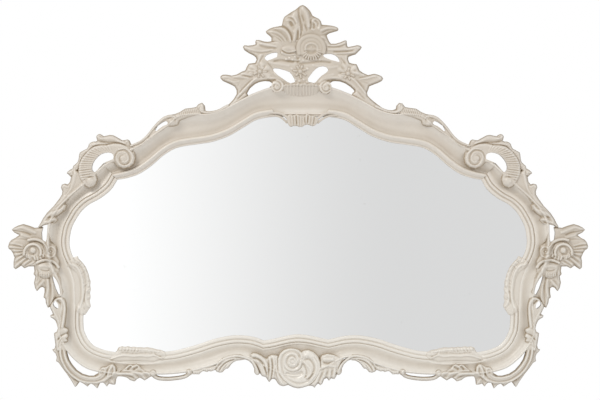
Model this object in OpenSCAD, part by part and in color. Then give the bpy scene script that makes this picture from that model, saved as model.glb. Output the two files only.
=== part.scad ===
/* [Frame] */
// Overall width of the carved frame
frame_width = 1223; // [1000:1:1400]
// Height of the outer shoulder of the moulding above the wall side
rail_depth = 28; // [24:1:36]
// Height of the outer edge of the moulding above the wall side
edge_depth = 15; // [12:1:20]
// Width of the rounded sight moulding next to the glass
sight_roll = 17; // [12:1:19]
// Rise of the sight moulding above its own lip
roll_rise = 8; // [5:0.5:10]
// Thickness of the lip that holds the glass from the front
lip_wall = 3.5; // [2.5:0.5:5]
// Sideways lean of the carving, in mm for each 100 mm of height
lean = 1.8; // [0:0.1:3]

/* [Carving] */
// Distance from the wall side to the back of the carved pieces
carving_back = 5; // [4:0.5:7]
// Gap that the glue fills where a carved piece is seated
glue_line = 0.12; // [0.08:0.01:0.2]
// Number of flutes on the panel under the crest
panel_flutes = 11; // [7:2:15]
// Petals of each small rosette in the crest
rosette_petals = 8; // [6:1:10]

/* [Glass and back] */
// Thickness of the mirror glass
glass_t = 4; // [3:0.5:6]
// Overlap of the glass behind the sight lip
glass_overlap = 8; // [6:0.5:10]
// Thickness of the backing board
board_t = 5; // [3:0.5:8]
// Overlap of the backing board on the rails
board_overlap = 22; // [18:0.5:24]
// Play round the edges of the glass and the board
edge_play = 1; // [0.5:0.1:1.5]
// Play between glass, board and lip through the thickness
face_play = 0.1; // [0.05:0.01:0.2]

/* [Joinery] */
// Diameter of the dowels in the rail joints
dowel_d = 5; // [4:0.5:5.5]
// Length of a dowel
dowel_len = 32; // [24:1:36]
// Distance of the outer dowel from the outer edge of the rail
dowel_edge = 8; // [7:0.5:9]
// Distance between the two dowels of a joint
dowel_pitch = 10; // [8:0.5:11]
// Radial play of dowels and screws in their holes
hole_play = 0.05; // [0.03:0.01:0.1]
// Width of the batten behind the crest
brace_w = 24; // [22:1:26]

/* [Screws] */
// Diameter of the screw shanks
screw_d = 3; // [2.5:0.1:3.5]
// Length of the screws
screw_len = 12; // [9:0.5:12.5]
// Diameter of the screw heads
head_d = 6; // [5:0.2:6.6]
// Height of a countersunk or a pan head
head_h = 1.8; // [1.4:0.1:2]

/* [Hangers] */
// Diameter of the wire of a hanging ring
wire_d = 2.5; // [2:0.1:3]
// Inner width of a hanging ring
ring_w = 22; // [20:1:26]
// Width of the strap that holds a ring
strap_w = 12; // [10:1:14]
// Clearance between the hanging ring and the lower screw head
strap_gap = 3; // [2:0.5:5]
// Thickness of the strap
strap_t = 1; // [0.8:0.1:1.2]
// Radial running clearance of the ring in the strap
eye_play = 0.08; // [0.03:0.01:0.1]
// Thickness of the wall bumpers
bumper_h = 6; // [6:0.5:8]
// Diameter of the wall bumpers
bumper_d = 16; // [12:1:18]

/* [Hidden] */

// The outlines below are drawn for a frame of this width
drawn_width = 1223;
plan = frame_width / drawn_width;
left = -1;
right = 1;

// Heights of the seats above the wall side
board_seat = board_t + face_play;
lip_back = board_seat + glass_t + 2 * face_play;
lip_front = lip_back + lip_wall;
cove_depth = lip_back + 4;

// Each station of a rail is [sight w, sight z, outer w, outer z], where w is
// the distance from the frame's own axis. The rails meet at shared stations.
top_line = [[0, 168, 0, 238], [34, 168, 40, 235], [62, 167, 70, 228], [92, 161, 102, 216],
    [118, 146, 132, 201], [150, 127, 164, 184], [184, 115, 196, 175], [214, 110, 224, 176],
    [242, 106, 255, 172], [264, 100, 280, 152], [287, 86, 305, 134], [311, 65, 335, 112],
    [336, 48, 361, 98], [361, 39, 386, 82], [383, 35, 412, 68]];
side_line = [[383, 35, 412, 68], [396, 14, 431, 50], [418, -4, 453, 30], [440, -16, 474, 12],
    [456, -30, 496, -8], [467, -46, 515, -32], [476, -64, 526, -55], [480, -82, 528, -78],
    [481, -100, 529, -100], [477, -118, 527, -125], [469, -135, 520, -150],
    [459, -152, 509, -170], [452, -172, 501, -188], [449, -195, 498, -205],
    [448, -220, 497, -226], [449, -245, 499, -248], [449, -265, 501, -270],
    [447, -282, 500, -294], [439, -300, 485, -322]];
bottom_line = [[439, -300, 485, -322], [427, -313, 466, -343], [410, -321, 441, -361],
    [390, -326, 410, -370], [365, -329, 374, -373], [335, -331, 337, -372],
    [305, -330, 303, -371], [280, -327, 274, -371], [255, -324, 247, -369],
    [230, -318, 220, -365], [203, -310, 194, -359], [177, -301, 166, -351],
    [152, -295, 142, -343], [129, -292, 122, -339], [104, -293, 102, -340],
    [84, -297, 88, -346]];
cusp_left = [69, -303, 72, -356];
cusp_right = [67, -301, 70, -356];
// The apron's stations run from left to right, so w is negative on the left
apron_line = [[-69, -303, -72, -356], [-50, -300, -50, -366], [-25, -294, -26, -376],
    [0, -290, 0, -380], [25, -292, 26, -376], [48, -297, 50, -366], [67, -301, 70, -356]];

// A point between b and c on the smooth curve through a, b, c and d
function between(a, b, c, d, t) = 0.5 * (2 * b + (c - a) * t
    + (2 * a - 5 * b + 4 * c - d) * t * t + (3 * b - a - 3 * c + d) * t * t * t);
// A smooth run through the points, with n steps from one to the next
function smooth(p, n) = [for (i = [0 : len(p) - 2], k = [0 : n - 1])
        between(p[max(i - 1, 0)], p[i], p[i + 1], p[min(i + 2, len(p) - 1)], k / n),
    p[len(p) - 1]];
function unit(v) = v / norm(v);
// A drawn point on one side of the axis, in the real plan
function place(side, w, z) = plan * [side * w + lean / 100 * z, z];
function sight_at(side, s) = place(side, s[0], s[1]);
function outer_at(side, s) = place(side, s[2], s[3]);
// A point at a distance from the sight edge, across the rail
function across(side, s, d) = sight_at(side, s)
    + d * unit(outer_at(side, s) - sight_at(side, s));
function width_at(side, s) = norm(outer_at(side, s) - sight_at(side, s));
// Points of the carved and lofted pieces are kept to a hundredth of a millimetre
function tidy(v) = [for (c = v) round(c * 100) / 100];

// The hollow of the moulding runs from the sight roll to the rounded shoulder
cove_start = sight_roll + 1.5;
shoulder_w = 9;
function across_cove(width, part) = cove_start + (width - shoulder_w - cove_start) * part;
// The moulding's section as [distance from the sight edge, height], grown by g
function section(width, g) = [[-g, lip_back - g], [-g, lip_front + g],
    [sight_roll * 0.18, lip_front + roll_rise * 0.6 + g],
    [sight_roll * 0.5, lip_front + roll_rise + g],
    [sight_roll * 0.85, lip_front + roll_rise * 0.5 + g],
    [cove_start, cove_depth + 0.8 + g], [across_cove(width, 0.25), cove_depth + g],
    [across_cove(width, 0.6), cove_depth + (rail_depth - cove_depth) * 0.42 + g],
    [width - shoulder_w, rail_depth - 0.6 + g], [width - shoulder_w / 2, rail_depth - 1 + g],
    [width + g, edge_depth + g], [width + g, -g],
    [board_overlap + edge_play - g, -g],
    [board_overlap + edge_play - g, board_seat - g],
    [glass_overlap + edge_play - g, board_seat - g],
    [glass_overlap + edge_play - g, lip_back - g]];
function ring_of(side, s, g) = [for (p = section(width_at(side, s), g))
    let (q = across(side, s, p[0])) tidy([q[0], -p[1], q[1]])];

// A closed loft through rings that all have the same number of points
module loft(rings, flip = false, closed = false) {
    n = len(rings[0]);
    last = len(rings) - 1;
    count = n * len(rings);
    walls = [for (i = [0 : closed ? last : last - 1], j = [0 : n - 1])
        let (a = i * n + j, b = i * n + (j + 1) % n, c = (a + n) % count, d = (b + n) % count)
            each [[a, c, b], [b, c, d]]];
    ends = closed ? []
        : [[for (j = [0 : n - 1]) j], [for (j = [n - 1 : -1 : 0]) last * n + j]];
    faces = concat(walls, ends);
    polyhedron(points = [for (r = rings) each r],
        faces = flip ? [for (f = faces) [for (k = [len(f) - 1 : -1 : 0]) f[k]]] : faces);
}
// Every rail is lofted clockwise, as the cutter below is, so that their faces agree
module rail_solid(side, line) {
    loft([for (s = side == left ? reversed(line) : line) ring_of(side, s, 0)], true);
}

top_joint = top_line[0];
notch_joint = side_line[0];
foot_joint = bottom_line[0];
function tail(p) = [for (i = [1 : len(p) - 1]) p[i]];
function reversed(p) = [for (i = [len(p) - 1 : -1 : 0]) p[i]];
half_line = concat(tail(top_line), tail(side_line), tail(bottom_line));
// The closed outline at a distance from the sight edge, clockwise from the top
function inner_outline(d) = concat(
    [for (s = reversed(half_line)) across(left, s, d)], [across(left, top_joint, d)],
    [for (s = half_line) across(right, s, d)],
    [for (s = reversed(apron_line)) across(right, s, d)]);
// The whole moulding in one piece, grown by the glue line, to cut the carvings
module frame_cut() {
    g = glue_line;
    loft(concat([for (s = reversed(half_line)) ring_of(left, s, g)],
        [ring_of(left, top_joint, g)], [for (s = half_line) ring_of(right, s, g)],
        [for (s = reversed(apron_line)) ring_of(right, s, g)]), true, true);
}
module flat_plate(outline, from_wall, thickness) {
    translate([0, -from_wall, 0]) rotate([90, 0, 0])
        linear_extrude(thickness) polygon(outline);
}

// Screws go in from the wall side, so their tips point to -Y
module screw(spot, from_wall, length, countersunk = true, play = 0) {
    translate([spot[0], -from_wall, spot[1]]) rotate([90, 0, 0]) {
        cylinder(d = screw_d + 2 * play, h = length, $fn = 24);
        if (countersunk)
            cylinder(d1 = head_d + 2 * play, d2 = screw_d + 2 * play, h = head_h, $fn = 24);
        else
            translate([0, 0, -head_h]) cylinder(d = head_d, h = head_h, $fn = 24);
    }
}
board_screw_inset = 6;
function board_spot(side, s) = across(side, s, board_overlap - board_screw_inset);
top_screw_stations = [top_line[3], top_line[9]];
side_screw_stations = [side_line[5], side_line[11], side_line[16]];
bottom_screw_stations = [bottom_line[6], bottom_line[12]];
apron_screw_stations = [apron_line[3]];
module board_screws(side, stations, play = 0) {
    for (s = stations) screw(board_spot(side, s), 0, screw_len, true, play);
}
module all_board_screws(play = 0) {
    for (side = [left, right])
        board_screws(side, concat(top_screw_stations, side_screw_stations,
            bottom_screw_stations), play);
    board_screws(right, apron_screw_stations, play);
}

// Two dowels cross each joint between two rails
dowel_height = (carving_back + cove_depth) / 2;
module joint_dowels(side, s, play = 0, edge = dowel_edge) {
    out = unit(outer_at(side, s) - sight_at(side, s));
    for (k = [0, 1]) {
        c = across(side, s, width_at(side, s) - edge - k * dowel_pitch);
        translate([c[0], -dowel_height, c[1]]) rotate([0, atan2(-out[1], out[0]), 0])
            cylinder(d = dowel_d + 2 * play, h = dowel_len + 2 * play, center = true, $fn = 32);
    }
}
// The outer edge turns away at the cusps, so the dowels there sit further in
cusp_edge = dowel_edge + 8;
module cusp_dowels(side, play = 0) {
    joint_dowels(side, side == left ? cusp_left : cusp_right, play, cusp_edge);
}

// The batten behind the crest is let into the back of the two top rails
brace_gap = 10;
brace_foot = plan * top_joint[1] + board_overlap + brace_gap;
brace_reach = 145;
brace_len = plan * brace_reach;
brace_x = lean / 100 * (brace_foot + brace_len / 2);
brace_t = carving_back - glue_line;
brace_rail_spots = [for (k = [-1, 1])
    [brace_x + k * (brace_w / 2 - head_d), brace_foot + head_d + strap_gap]];
brace_crest_spots = [for (f = [0.41, 0.88]) [brace_x, brace_foot + f * brace_len]];
module brace_block(play = 0) {
    translate([brace_x - brace_w / 2 - play, -brace_t - play, brace_foot - play])
        cube([brace_w + 2 * play, brace_t + play, brace_len + 2 * play]);
}
module crest_screws(play = 0) {
    for (c = brace_crest_spots) screw(c, 0, screw_len, true, play);
}
module brace_rail_screws(play = 0) {
    for (c = brace_rail_spots) screw(c, 0, screw_len, true, play);
}

// Each hanger is a strap folded round the straight bar of a D-shaped ring
hanger_inset = 8;
hanger_station = top_line[8];
ring_r = (ring_w + wire_d) / 2;
eye_r = wire_d / 2 + eye_play;
eye_lift = 0.25;
head_gap = 0.6;
eye_y = eye_r + strap_t + eye_lift;
upper_screw = eye_r + strap_t + head_d / 2 + head_gap;
lower_screw = ring_r + wire_d / 2 + head_d / 2 + strap_gap;
function ring_axis(side) = across(side, hanger_station,
    width_at(side, hanger_station) - hanger_inset);
function strap_spots(side) = [for (d = [upper_screw, lower_screw]) ring_axis(side) - [0, d]];
module strap_screws(side, play = 0) {
    for (c = strap_spots(side)) screw(c, -strap_t, screw_len, false, play);
}
module strap(side) {
    c = ring_axis(side);
    translate([c[0], 0, c[1]]) difference() {
        union() {
            translate([-strap_w / 2, 0, -lower_screw]) cube([strap_w, strap_t, lower_screw]);
            translate([0, strap_t, -lower_screw]) rotate([90, 0, 0])
                cylinder(d = strap_w, h = strap_t, $fn = 48);
            translate([-strap_w / 2, eye_y, 0]) rotate([0, 90, 0])
                cylinder(r = eye_r + strap_t, h = strap_w, $fn = 32);
        }
        translate([-strap_w / 2 - 1, eye_y, 0]) rotate([0, 90, 0])
            cylinder(r = eye_r, h = strap_w + 2, $fn = 32);
        for (d = [upper_screw, lower_screw])
            translate([0, strap_t + 1, -d]) rotate([90, 0, 0])
                cylinder(d = screw_d + 2 * hole_play, h = strap_t + 2, $fn = 24);
    }
}
module ring(side) {
    c = ring_axis(side);
    translate([c[0], eye_y, c[1]]) {
        rotate([0, 90, 0]) cylinder(d = wire_d, h = 2 * ring_r, center = true, $fn = 32);
        for (x = [-ring_r, ring_r]) translate([x, 0, 0]) sphere(d = wire_d * 1.2, $fn = 32);
        rotate([-90, 0, 0]) rotate_extrude(angle = 180, $fn = 64)
            translate([ring_r, 0]) circle(d = wire_d, $fn = 32);
    }
}

// Carved strokes. A ring is [w, z, half width, height above the shoulder]. Every ring
// stays flat when it is brought to the grid, so that the next piece meets it fully.
leaf_form = [[-1, 0], [-1, 0.6], [0, 1], [1, 0.6], [1, 0]];
band_form = [[-1, 0], [-1, 0.8], [-0.5, 1], [0.5, 1], [1, 0.8], [1, 0]];
// A low ridge, whose valleys stay above the wood that it lies on
flute_form = [[-1, 0], [-1, 0.93], [0, 1], [1, 0.93], [1, 0]];
// Each length of a stroke also reaches this far into the next with a blunt point.
lap = 1.5;
function stroke_ring(side, p, i, g, base, top, form) =
    let (here = tidy(place(side, p[i][0], p[i][1])),
        before = p[max(i - 1, 0)], after = p[min(i + 1, len(p) - 1)],
        along = unit(place(side, after[0], after[1]) - place(side, before[0], before[1])),
        high = top + p[i][3] + g - base + g, half = plan * p[i][2] + g,
        reach = 2 * tidy([-along[1], along[0]] * half / 2))
    [for (f = form) [here[0] + reach[0] * f[0], -(base - g + high * f[1]),
        here[1] + reach[1] * f[0]]];
module stroke(side, p, g = 0, base = carving_back, top = rail_depth, form = leaf_form, n = 1) {
    q = n > 1 ? smooth(p, n) : p;
    last = len(q) - 1;
    rings = [for (i = [0 : last]) stroke_ring(side, q, i, g, base, top, form)];
    cores = [for (r = rings) (r[0] + r[1] + r[len(r) - 2] + r[len(r) - 1]) / 4];
    for (i = [0 : last - 1]) {
        step = lap * unit(cores[i + 1] - cores[i]);
        points = concat(rings[i], rings[i + 1],
            [i > 0 ? cores[i] - step : rings[i][0],
            i < last - 1 ? cores[i + 1] + step : rings[i + 1][0]]);
        hull() polyhedron(points, [for (k = [1 : len(points) - 2]) [0, k, k + 1]]);
    }
}
// A rounded knob
module boss(side, w, z, r, h, g = 0, base = carving_back, top = rail_depth) {
    c = place(side, w, z);
    high = top + h - base + 2 * g;
    hull() loft([for (f = [[1, 0], [1, 0.75], [0.55, 1]])
        [for (a = [22.5 : 45 : 337.5]) tidy([c[0] + (plan * r + g) * f[0] * cos(a),
            -(base - g + high * f[1]), c[1] + (plan * r + g) * f[0] * sin(a)])]]);
}
// Petals spread evenly from one angle to another
module petals(side, w, z, inner, outer, n, from, to, half, h, g = 0, base = carving_back,
        form = leaf_form) {
    for (i = [0 : n - 1]) {
        a = n > 1 ? from + (to - from) * i / (n - 1) : from;
        stroke(side, [[w + inner * cos(a), z + inner * sin(a), half * 0.7, h],
            [w + outer * cos(a), z + outer * sin(a), half, h - 4]], g, base, form = form);
    }
}
petal_base = carving_back + 9;

// Crest
module crest_openwork_form(g = 0) {
    for (side = [left, right]) {
        stroke(side, [[30, 309, 9, -2], [62, 308, 9, -3], [90, 311, 8, -5],
            [112, 313, 6, -9], [123.5, 314, 2.5, -13]], g);
        stroke(side, [[40, 315, 7, -1], [64, 319, 7, -3], [82, 323, 6, -6],
            [97, 326, 2.5, -12]], g);
        stroke(side, [[94, 306, 9, -4], [87, 292, 8.5, -2], [84, 277, 12, 0]], g);
        stroke(side, [[86, 262, 15, 0], [102, 274, 9, -3], [110, 280, 3, -9]], g);
        stroke(side, [[86, 260, 14, 0], [106, 264, 8, -4], [117, 263, 3, -9]], g);
        stroke(side, [[84, 252, 13, -1], [110, 247, 14, 0], [134, 244, 11.5, -2],
            [152, 247, 8.5, -5], [165, 250, 5, -9], [170.5, 251, 2, -13]], g);
        stroke(side, [[94, 249, 10, 0], [109, 236, 13, 1], [122, 222, 12, 2],
            [135, 206, 7, 2], [152, 190, 4, 2], [172, 181, 3, 2], [192, 177, 3, 2],
            [207, 180, 5, 2], [209, 189, 4, -1], [206.5, 197, 1.5, -6]], g);
        stroke(side, [[94, 259, 11, -2], [78, 257, 11, 1], [64, 254, 11.5, 2], [50, 247, 11, 4],
            [42, 235, 11, 5]], g);
        boss(side, 50, 229, 12, 5, g);
        boss(side, 50, 229, 6, 8, g);
    }
    stroke(right, [[-88, 277, 9, -1], [-70, 279, 8, 2], [-50, 281, 11, 3], [-22, 280, 15, 3],
        [22, 280, 15.5, 3], [50, 281, 11.5, 3], [70, 279, 8.5, 2], [88, 277, 9, -1]], g);
    stroke(right, [[0, 236, 14, 1], [0.5, 262, 13, 2], [0, 287, 14, 1]], g);
}
module crest_plume_form(g = 0) {
    stroke(right, [[0, 298, 34, -5], [0, 335, 40, -3], [0, 360, 40, -4], [-5, 376, 31, -6],
        [-3, 390, 15, -8], [1, 402, 2.5, -12]], g);
    for (side = [left, right]) {
        stroke(side, [[8, 322, 16, 1], [32, 338, 18, 1], [50, 341, 15, -1],
            [65, 345, 9, -5], [76.5, 347, 2, -12]], g);
        boss(side, 24, 363, 6, 0, g);
    }
}
module crest_flower_form(g = 0) {
    boss(right, 20, 312, 16, 6, g, petal_base);
    petals(right, 20, 312, 12, 28, 7, 195, 345, 6.5, 7, g, petal_base);
    stroke(right, [for (a = [-10 : 40 : 190])
        [20 + 22 * cos(a), 312 + 23 * sin(a), 6, 9]], g, petal_base);
    boss(right, 20, 312, 6, 11, g, petal_base);
}
module crest_bud_form(g = 0) {
    stroke(right, [[-25, 334, 14, 4], [-28, 322, 19, 8], [-27, 308, 17, 8],
        [-22, 298, 8, 4]], g, petal_base);
    petals(right, -26, 316, 8, 20, 4, 220, 320, 7, 7, g, petal_base);
}
module rosette_form(side, w, z, r, g = 0) {
    boss(side, w, z, r * 0.5, 7, g, petal_base);
    petals(side, w, z, r * 0.25, r, rosette_petals, 0, 360 * (1 - 1 / rosette_petals),
        r * 0.36, 6, g, petal_base, flute_form);
}
panel_half = 33;
module crest_panel_form(g = 0) {
    pitch = 2 * panel_half / panel_flutes;
    for (i = [0 : panel_flutes - 1]) {
        w = -panel_half + pitch * (i + 0.5);
        stroke(right, [[w, 240, pitch * 0.6, 5], [w, 209, pitch * 0.56, 1]], g,
            form = flute_form);
    }
}

// Pieces on the sight moulding rise above its crest
sight_top = lip_front + roll_rise;
module sight_shell_form(g = 0) {
    for (i = [-1, 0, 1]) {
        w = 3.5 + 20 * i;
        stroke(right, [[w - 1.5 * i, 188, 11, 0], [w, 172, 11.5, 4], [w, 157, 11.5, 3],
            [w, 148, 6, -4]], g, lip_back, sight_top);
    }
}

// Upper corner
corner_path = [[442, 35, 10, 2], [451, 58, 13, 3], [447, 78, 13.5, 4], [435, 93, 12, 4],
    [418, 101, 10, 4], [398, 104, 9.5, 5], [376, 104, 9.5, 6], [357, 97, 9, 6],
    [349.5, 84, 8, 6], [352, 69, 7, 6], [364, 60, 6, 6], [379, 61, 5.5, 6],
    [388, 72, 5, 6.5], [387, 86, 4.5, 6.5], [376, 94, 4, 7], [365, 90, 3.5, 7]];
module corner_scroll_form(side, g = 0) {
    stroke(side, corner_path, g, carving_back, rail_depth, band_form);
    boss(side, 440.5, 30, 13, 7, g);
    boss(side, 372, 78, 13, 4, g);
    boss(side, 372, 79, 7, 9, g);
}
module scroll_comb_form(side, g = 0) {
    stroke(side, [[352, 109, 2.5, 0], [364, 113, 5, 1], [380, 114, 5, 1], [396, 119, 9, 1],
        [412, 119, 8.5, 0], [423, 122, 8, -1], [427, 129, 3, -5]], g);
    stroke(side, [[424, 112, 6, 0], [438, 106, 7, -1], [452, 95, 7, -2], [460, 80, 5.5, -2],
        [468, 67, 6.5, -2], [479, 56, 6, -3], [486, 51, 4, -6], [490, 48, 2, -9]], g);
}
shoulder_tips = [[260, 176], [252, 180], [244, 183.5], [236, 185], [228, 185.5], [220, 186.5]];
module shoulder_scroll_form(side, g = 0) {
    stroke(side, [[342, 109, 2.5, 2], [330, 116, 4, 2], [318, 129, 4.5, 2], [308.5, 145, 4.5, 2],
        [297, 158, 5, 2], [283, 166, 6, 3], [270, 166, 7, 3]], g);
    boss(side, 269, 159, 9.5, 6, g);
    for (t = shoulder_tips)
        stroke(side, [[t[0] + 2, t[1] - 20, 3.6, 1], [t[0], t[1], 4.6, 2]], g);
}
module edge_leaf_form(side, g = 0) {
    stroke(side, [[469, 54, 7, -1], [473, 38, 8, -1], [476, 22, 9, -1], [484, 8, 9, -1],
        [495, -6, 8, -1], [508, -20, 7, -1], [521, -33, 7, -1], [531, -46, 8, -1],
        [540, -64, 8, -3]], g);
    stroke(side, [[484, 14, 6, -2], [492, 20, 5, -4], [499, 23, 2, -8]], g);
    stroke(side, [[522, -38, 7, 1], [508, -33, 7, 3], [497, -26, 5, 3], [491, -17, 2, 1]], g);
    stroke(side, [[536, -55, 7, 0], [524, -51, 6, 3], [514, -48, 4, 3], [507, -45, 2, 1]], g);
}

// Side spray
module side_spray_form(side, g = 0) {
    stroke(side, [[553, -80, 9, -4], [549, -104, 22, -4], [538, -134, 20, -4],
        [534, -160, 17, -4], [532, -180, 10, -5]], g);
    stroke(side, [[538, -82, 10, -3], [556, -78, 13, -3], [578, -72, 12, -6],
        [594, -70, 7, -9], [604, -71, 2, -13]], g);
    stroke(side, [[560, -106, 14, -3], [582, -101, 14, -5], [600, -102, 10, -8],
        [611, -105, 5, -12]], g);
    stroke(side, [[562, -110, 13, -4], [584, -115, 10, -6], [600, -118, 5, -11]], g);
    stroke(side, [[566, -118, 14, -4], [580, -128, 12, -6], [590, -141, 8, -9],
        [595, -152, 3, -12]], g);
    stroke(side, [[560, -124, 12, -4], [567, -137, 10, -6], [574, -150, 4, -10]], g);
    stroke(side, [[538, -165, 12, -4], [545, -180, 10, -7], [547, -192, 5, -9],
        [547.5, -199, 2, -12]], g);
    stroke(side, [[525, -170, 8, -4], [522, -190, 9, -4], [520, -210, 10, -4],
        [521, -225, 6, -7], [523.5, -234, 2, -11]], g);
    stroke(side, [[524, -198, 6, -5], [531, -210, 3, -9], [534, -213, 1.5, -11]], g);
    boss(side, 520, -117, 9.5, 4, g);
    boss(side, 520, -117, 5, 7, g);
}
module side_flower_form(side, w, z, r, g = 0) {
    boss(side, w, z, r * 0.52, 5, g, petal_base);
    petals(side, w, z, r * 0.4, r, 6, 195, 375, r * 0.34, 5, g, petal_base);
    stroke(side, [for (a = [10 : 45 : 190])
        [w + r * 0.85 * cos(a), z + r * 0.85 * sin(a), r * 0.22, 7]], g, petal_base);
    boss(side, w, z, r * 0.22, 9, g, petal_base);
}
module hook_scroll_form(side, g = 0) {
    stroke(side, [[516, -219, 3, -1], [510, -211, 4.5, 2], [500, -210, 6, 3], [492, -220, 6, 3],
        [489, -240, 6, 3], [491, -260, 6, 2], [496, -280, 6, 1], [500, -293, 6, 0]], g);
    stroke(side, [[519, -228, 3.5, -4], [514, -240, 4.5, -4], [506, -252, 7, -3],
        [501, -275, 6, -1], [503, -292, 8, 0]], g);
    stroke(side, [[510, -249, 5, -4], [517, -252, 2, -8]], g);
    stroke(side, [[505, -293, 10, 1], [494, -290, 8, 4], [484, -287, 6, 3], [477, -284, 3, 0]], g);
    stroke(side, [[503, -304, 9, 1], [492, -302, 6.5, 3], [476, -298, 3, 0]], g);
}
ruffle_tips = [[462, -131], [452.5, -143], [444.5, -155], [440, -168], [437, -180],
    [435, -192], [435.5, -204], [436, -216], [435, -228]];
module sight_ruffle_form(side, g = 0) {
    for (t = ruffle_tips)
        stroke(side, [[t[0] + 17, t[1] - 4, 7, 1], [t[0], t[1], 7.4, 0]], g, lip_back, sight_top);
}

// Lower corner and bottom
module foot_scroll_form(side, g = 0) {
    stroke(side, [[501, -310, 7, 0], [497, -330, 8.5, 1], [489, -349, 8.5, 2], [474, -366, 8, 3],
        [454, -379, 7.5, 3], [432, -385, 7, 3], [412, -385, 7.5, 4], [397, -377, 9, 5]],
        g, carving_back, rail_depth, band_form);
    stroke(side, [[504, -306, 6, -2], [505, -322, 6, -3], [500, -342, 7, -4]], g);
    stroke(side, [[506, -322, 4, -5], [513, -321, 1.5, -9]], g);
    stroke(side, [[490, -356, 8, -3], [478, -375, 9, -5], [469, -391, 6, -9],
        [463, -400, 2, -12]], g);
    for (t = [[448, 440, -398], [429, 418, -400], [405, 399, -398], [389, 381, -395]])
        stroke(side, [[t[0], -382, 9, -2], [t[1] + 1, t[2] + 4, 4.5, -9]], g);
    stroke(side, [[390, -354, 6, 3], [386, -368, 10, 6], [385, -381, 7, 3]], g);
}
module foot_sprig_form(side, g = 0) {
    stroke(side, [[376, -374, 5, 0], [358, -372, 9, 2], [346, -377, 8, 0],
        [339, -387, 2.5, -6]], g);
    stroke(side, [[356, -366, 8, 2], [338, -370, 9, 1], [325, -377, 6, -3],
        [317, -386, 2, -8]], g);
    stroke(side, [[360, -369, 8, 2], [351, -357, 4, 4]], g);
    stroke(side, [[345, -371, 8, 2], [336, -358, 4, 4]], g);
}
module foot_ruffle_form(side, g = 0) {
    for (t = [[391, -317], [378, -315], [364, -315], [350, -316], [336, -317],
        [322, -318], [308, -320], [296, -322]])
        stroke(side, [[t[0] + 2, t[1] - 17, 7.6, 1], [t[0], t[1], 7.4, 0]], g, lip_back, sight_top);
}
module loop_scroll_form(side, g = 0) {
    boss(side, 300.5, -372, 8.5, 4, g);
    stroke(side, [[307, -377, 4, 0], [294, -382.5, 5, 0], [275, -384.5, 5, 0],
        [255, -383.5, 5, 0], [238, -379, 5, 0], [225, -372, 5, 2]], g,
        carving_back, rail_depth, band_form);
    boss(side, 222.5, -367.5, 8.5, 4, g);
}
module arch_comb_form(side, g = 0) {
    for (i = [0 : 4]) {
        w = 209 - 8.5 * i;
        stroke(side, [[w, -351 + i * 0.5, 4.4, 1], [w, -370 + i * 1.6, 4.6, 0]], g);
    }
    stroke(side, [[166, -367, 6, -1], [160, -356, 6.5, 2], [150, -346, 5, 2],
        [136, -340, 4, 2], [122, -339, 4, 2], [108, -342, 5, 2], [97, -350, 5.5, 2],
        [90, -361, 5.5, 1], [86, -371, 4, -2]], g);
    stroke(side, [[150, -361, 4.5, -2], [143, -352, 4, 0], [134, -345, 3, 0]], g);
}
module apron_leaf_left_form(g = 0) {
    stroke(left, [[92, -335, 6, 2], [80, -346, 8, 3], [70, -362, 10, 1], [62, -377, 8, -3],
        [57, -389, 2, -9]], g);
    stroke(left, [[58, -358, 10, 2], [50, -374, 10, 0], [41, -388, 8, -4],
        [33, -399, 2.5, -9]], g);
    stroke(left, [[95, -331, 3, 2], [84, -335, 5, 4], [72, -341, 6, 4], [62, -352, 6, 3]], g);
}
module apron_leaf_right_form(g = 0) {
    boss(right, 69, -341, 9, 4, g);
    stroke(right, [[69, -340, 7, 2], [70, -354, 12, 2], [76, -369, 9, -1], [80, -383, 3, -8]], g);
    stroke(right, [[58, -360, 11, 2], [65, -375, 7, -3], [68.5, -387, 2, -9]], g);
    stroke(right, [[48, -370, 10, 1], [51, -387, 6, -5], [50.5, -397, 2, -9]], g);
    stroke(right, [[36, -380, 9, 0], [38, -393, 5, -5], [39.5, -402, 1.5, -9]], g);
}
module apron_cartouche_form(g = 0) {
    stroke(right, [[8, -326, 4, 4], [-8, -321, 5, 5], [-24, -325, 6, 5], [-34, -340, 6.5, 5],
        [-37, -358, 6.5, 5], [-31, -377, 6.5, 5], [-17, -391, 6.5, 5], [4, -397, 6.5, 5],
        [25, -392, 6, 4], [38, -378, 6, 4], [44, -360, 6, 3], [41, -342, 5, 3],
        [30, -330, 5, 3], [18, -328, 4, 3]], g, carving_back, rail_depth, band_form);
    stroke(right, [[14, -345, 4, 6], [6, -331, 5, 7], [-8, -327, 5, 7], [-22, -334, 5, 7],
        [-26, -348, 5, 7], [-18, -362, 5, 7], [-4, -365, 5, 7], [6, -355, 4, 7.5],
        [4, -343, 3.5, 8]], g, carving_back, rail_depth, band_form);
    stroke(right, [[20, -340, 10, 3], [30, -352, 10, 4], [34, -368, 9, 4],
        [26, -382, 7, 3], [12, -388, 5, 3]], g);
    boss(right, 3, -360, 38, 0, g);
    boss(right, -7, -347, 9, 9, g);
}

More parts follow.
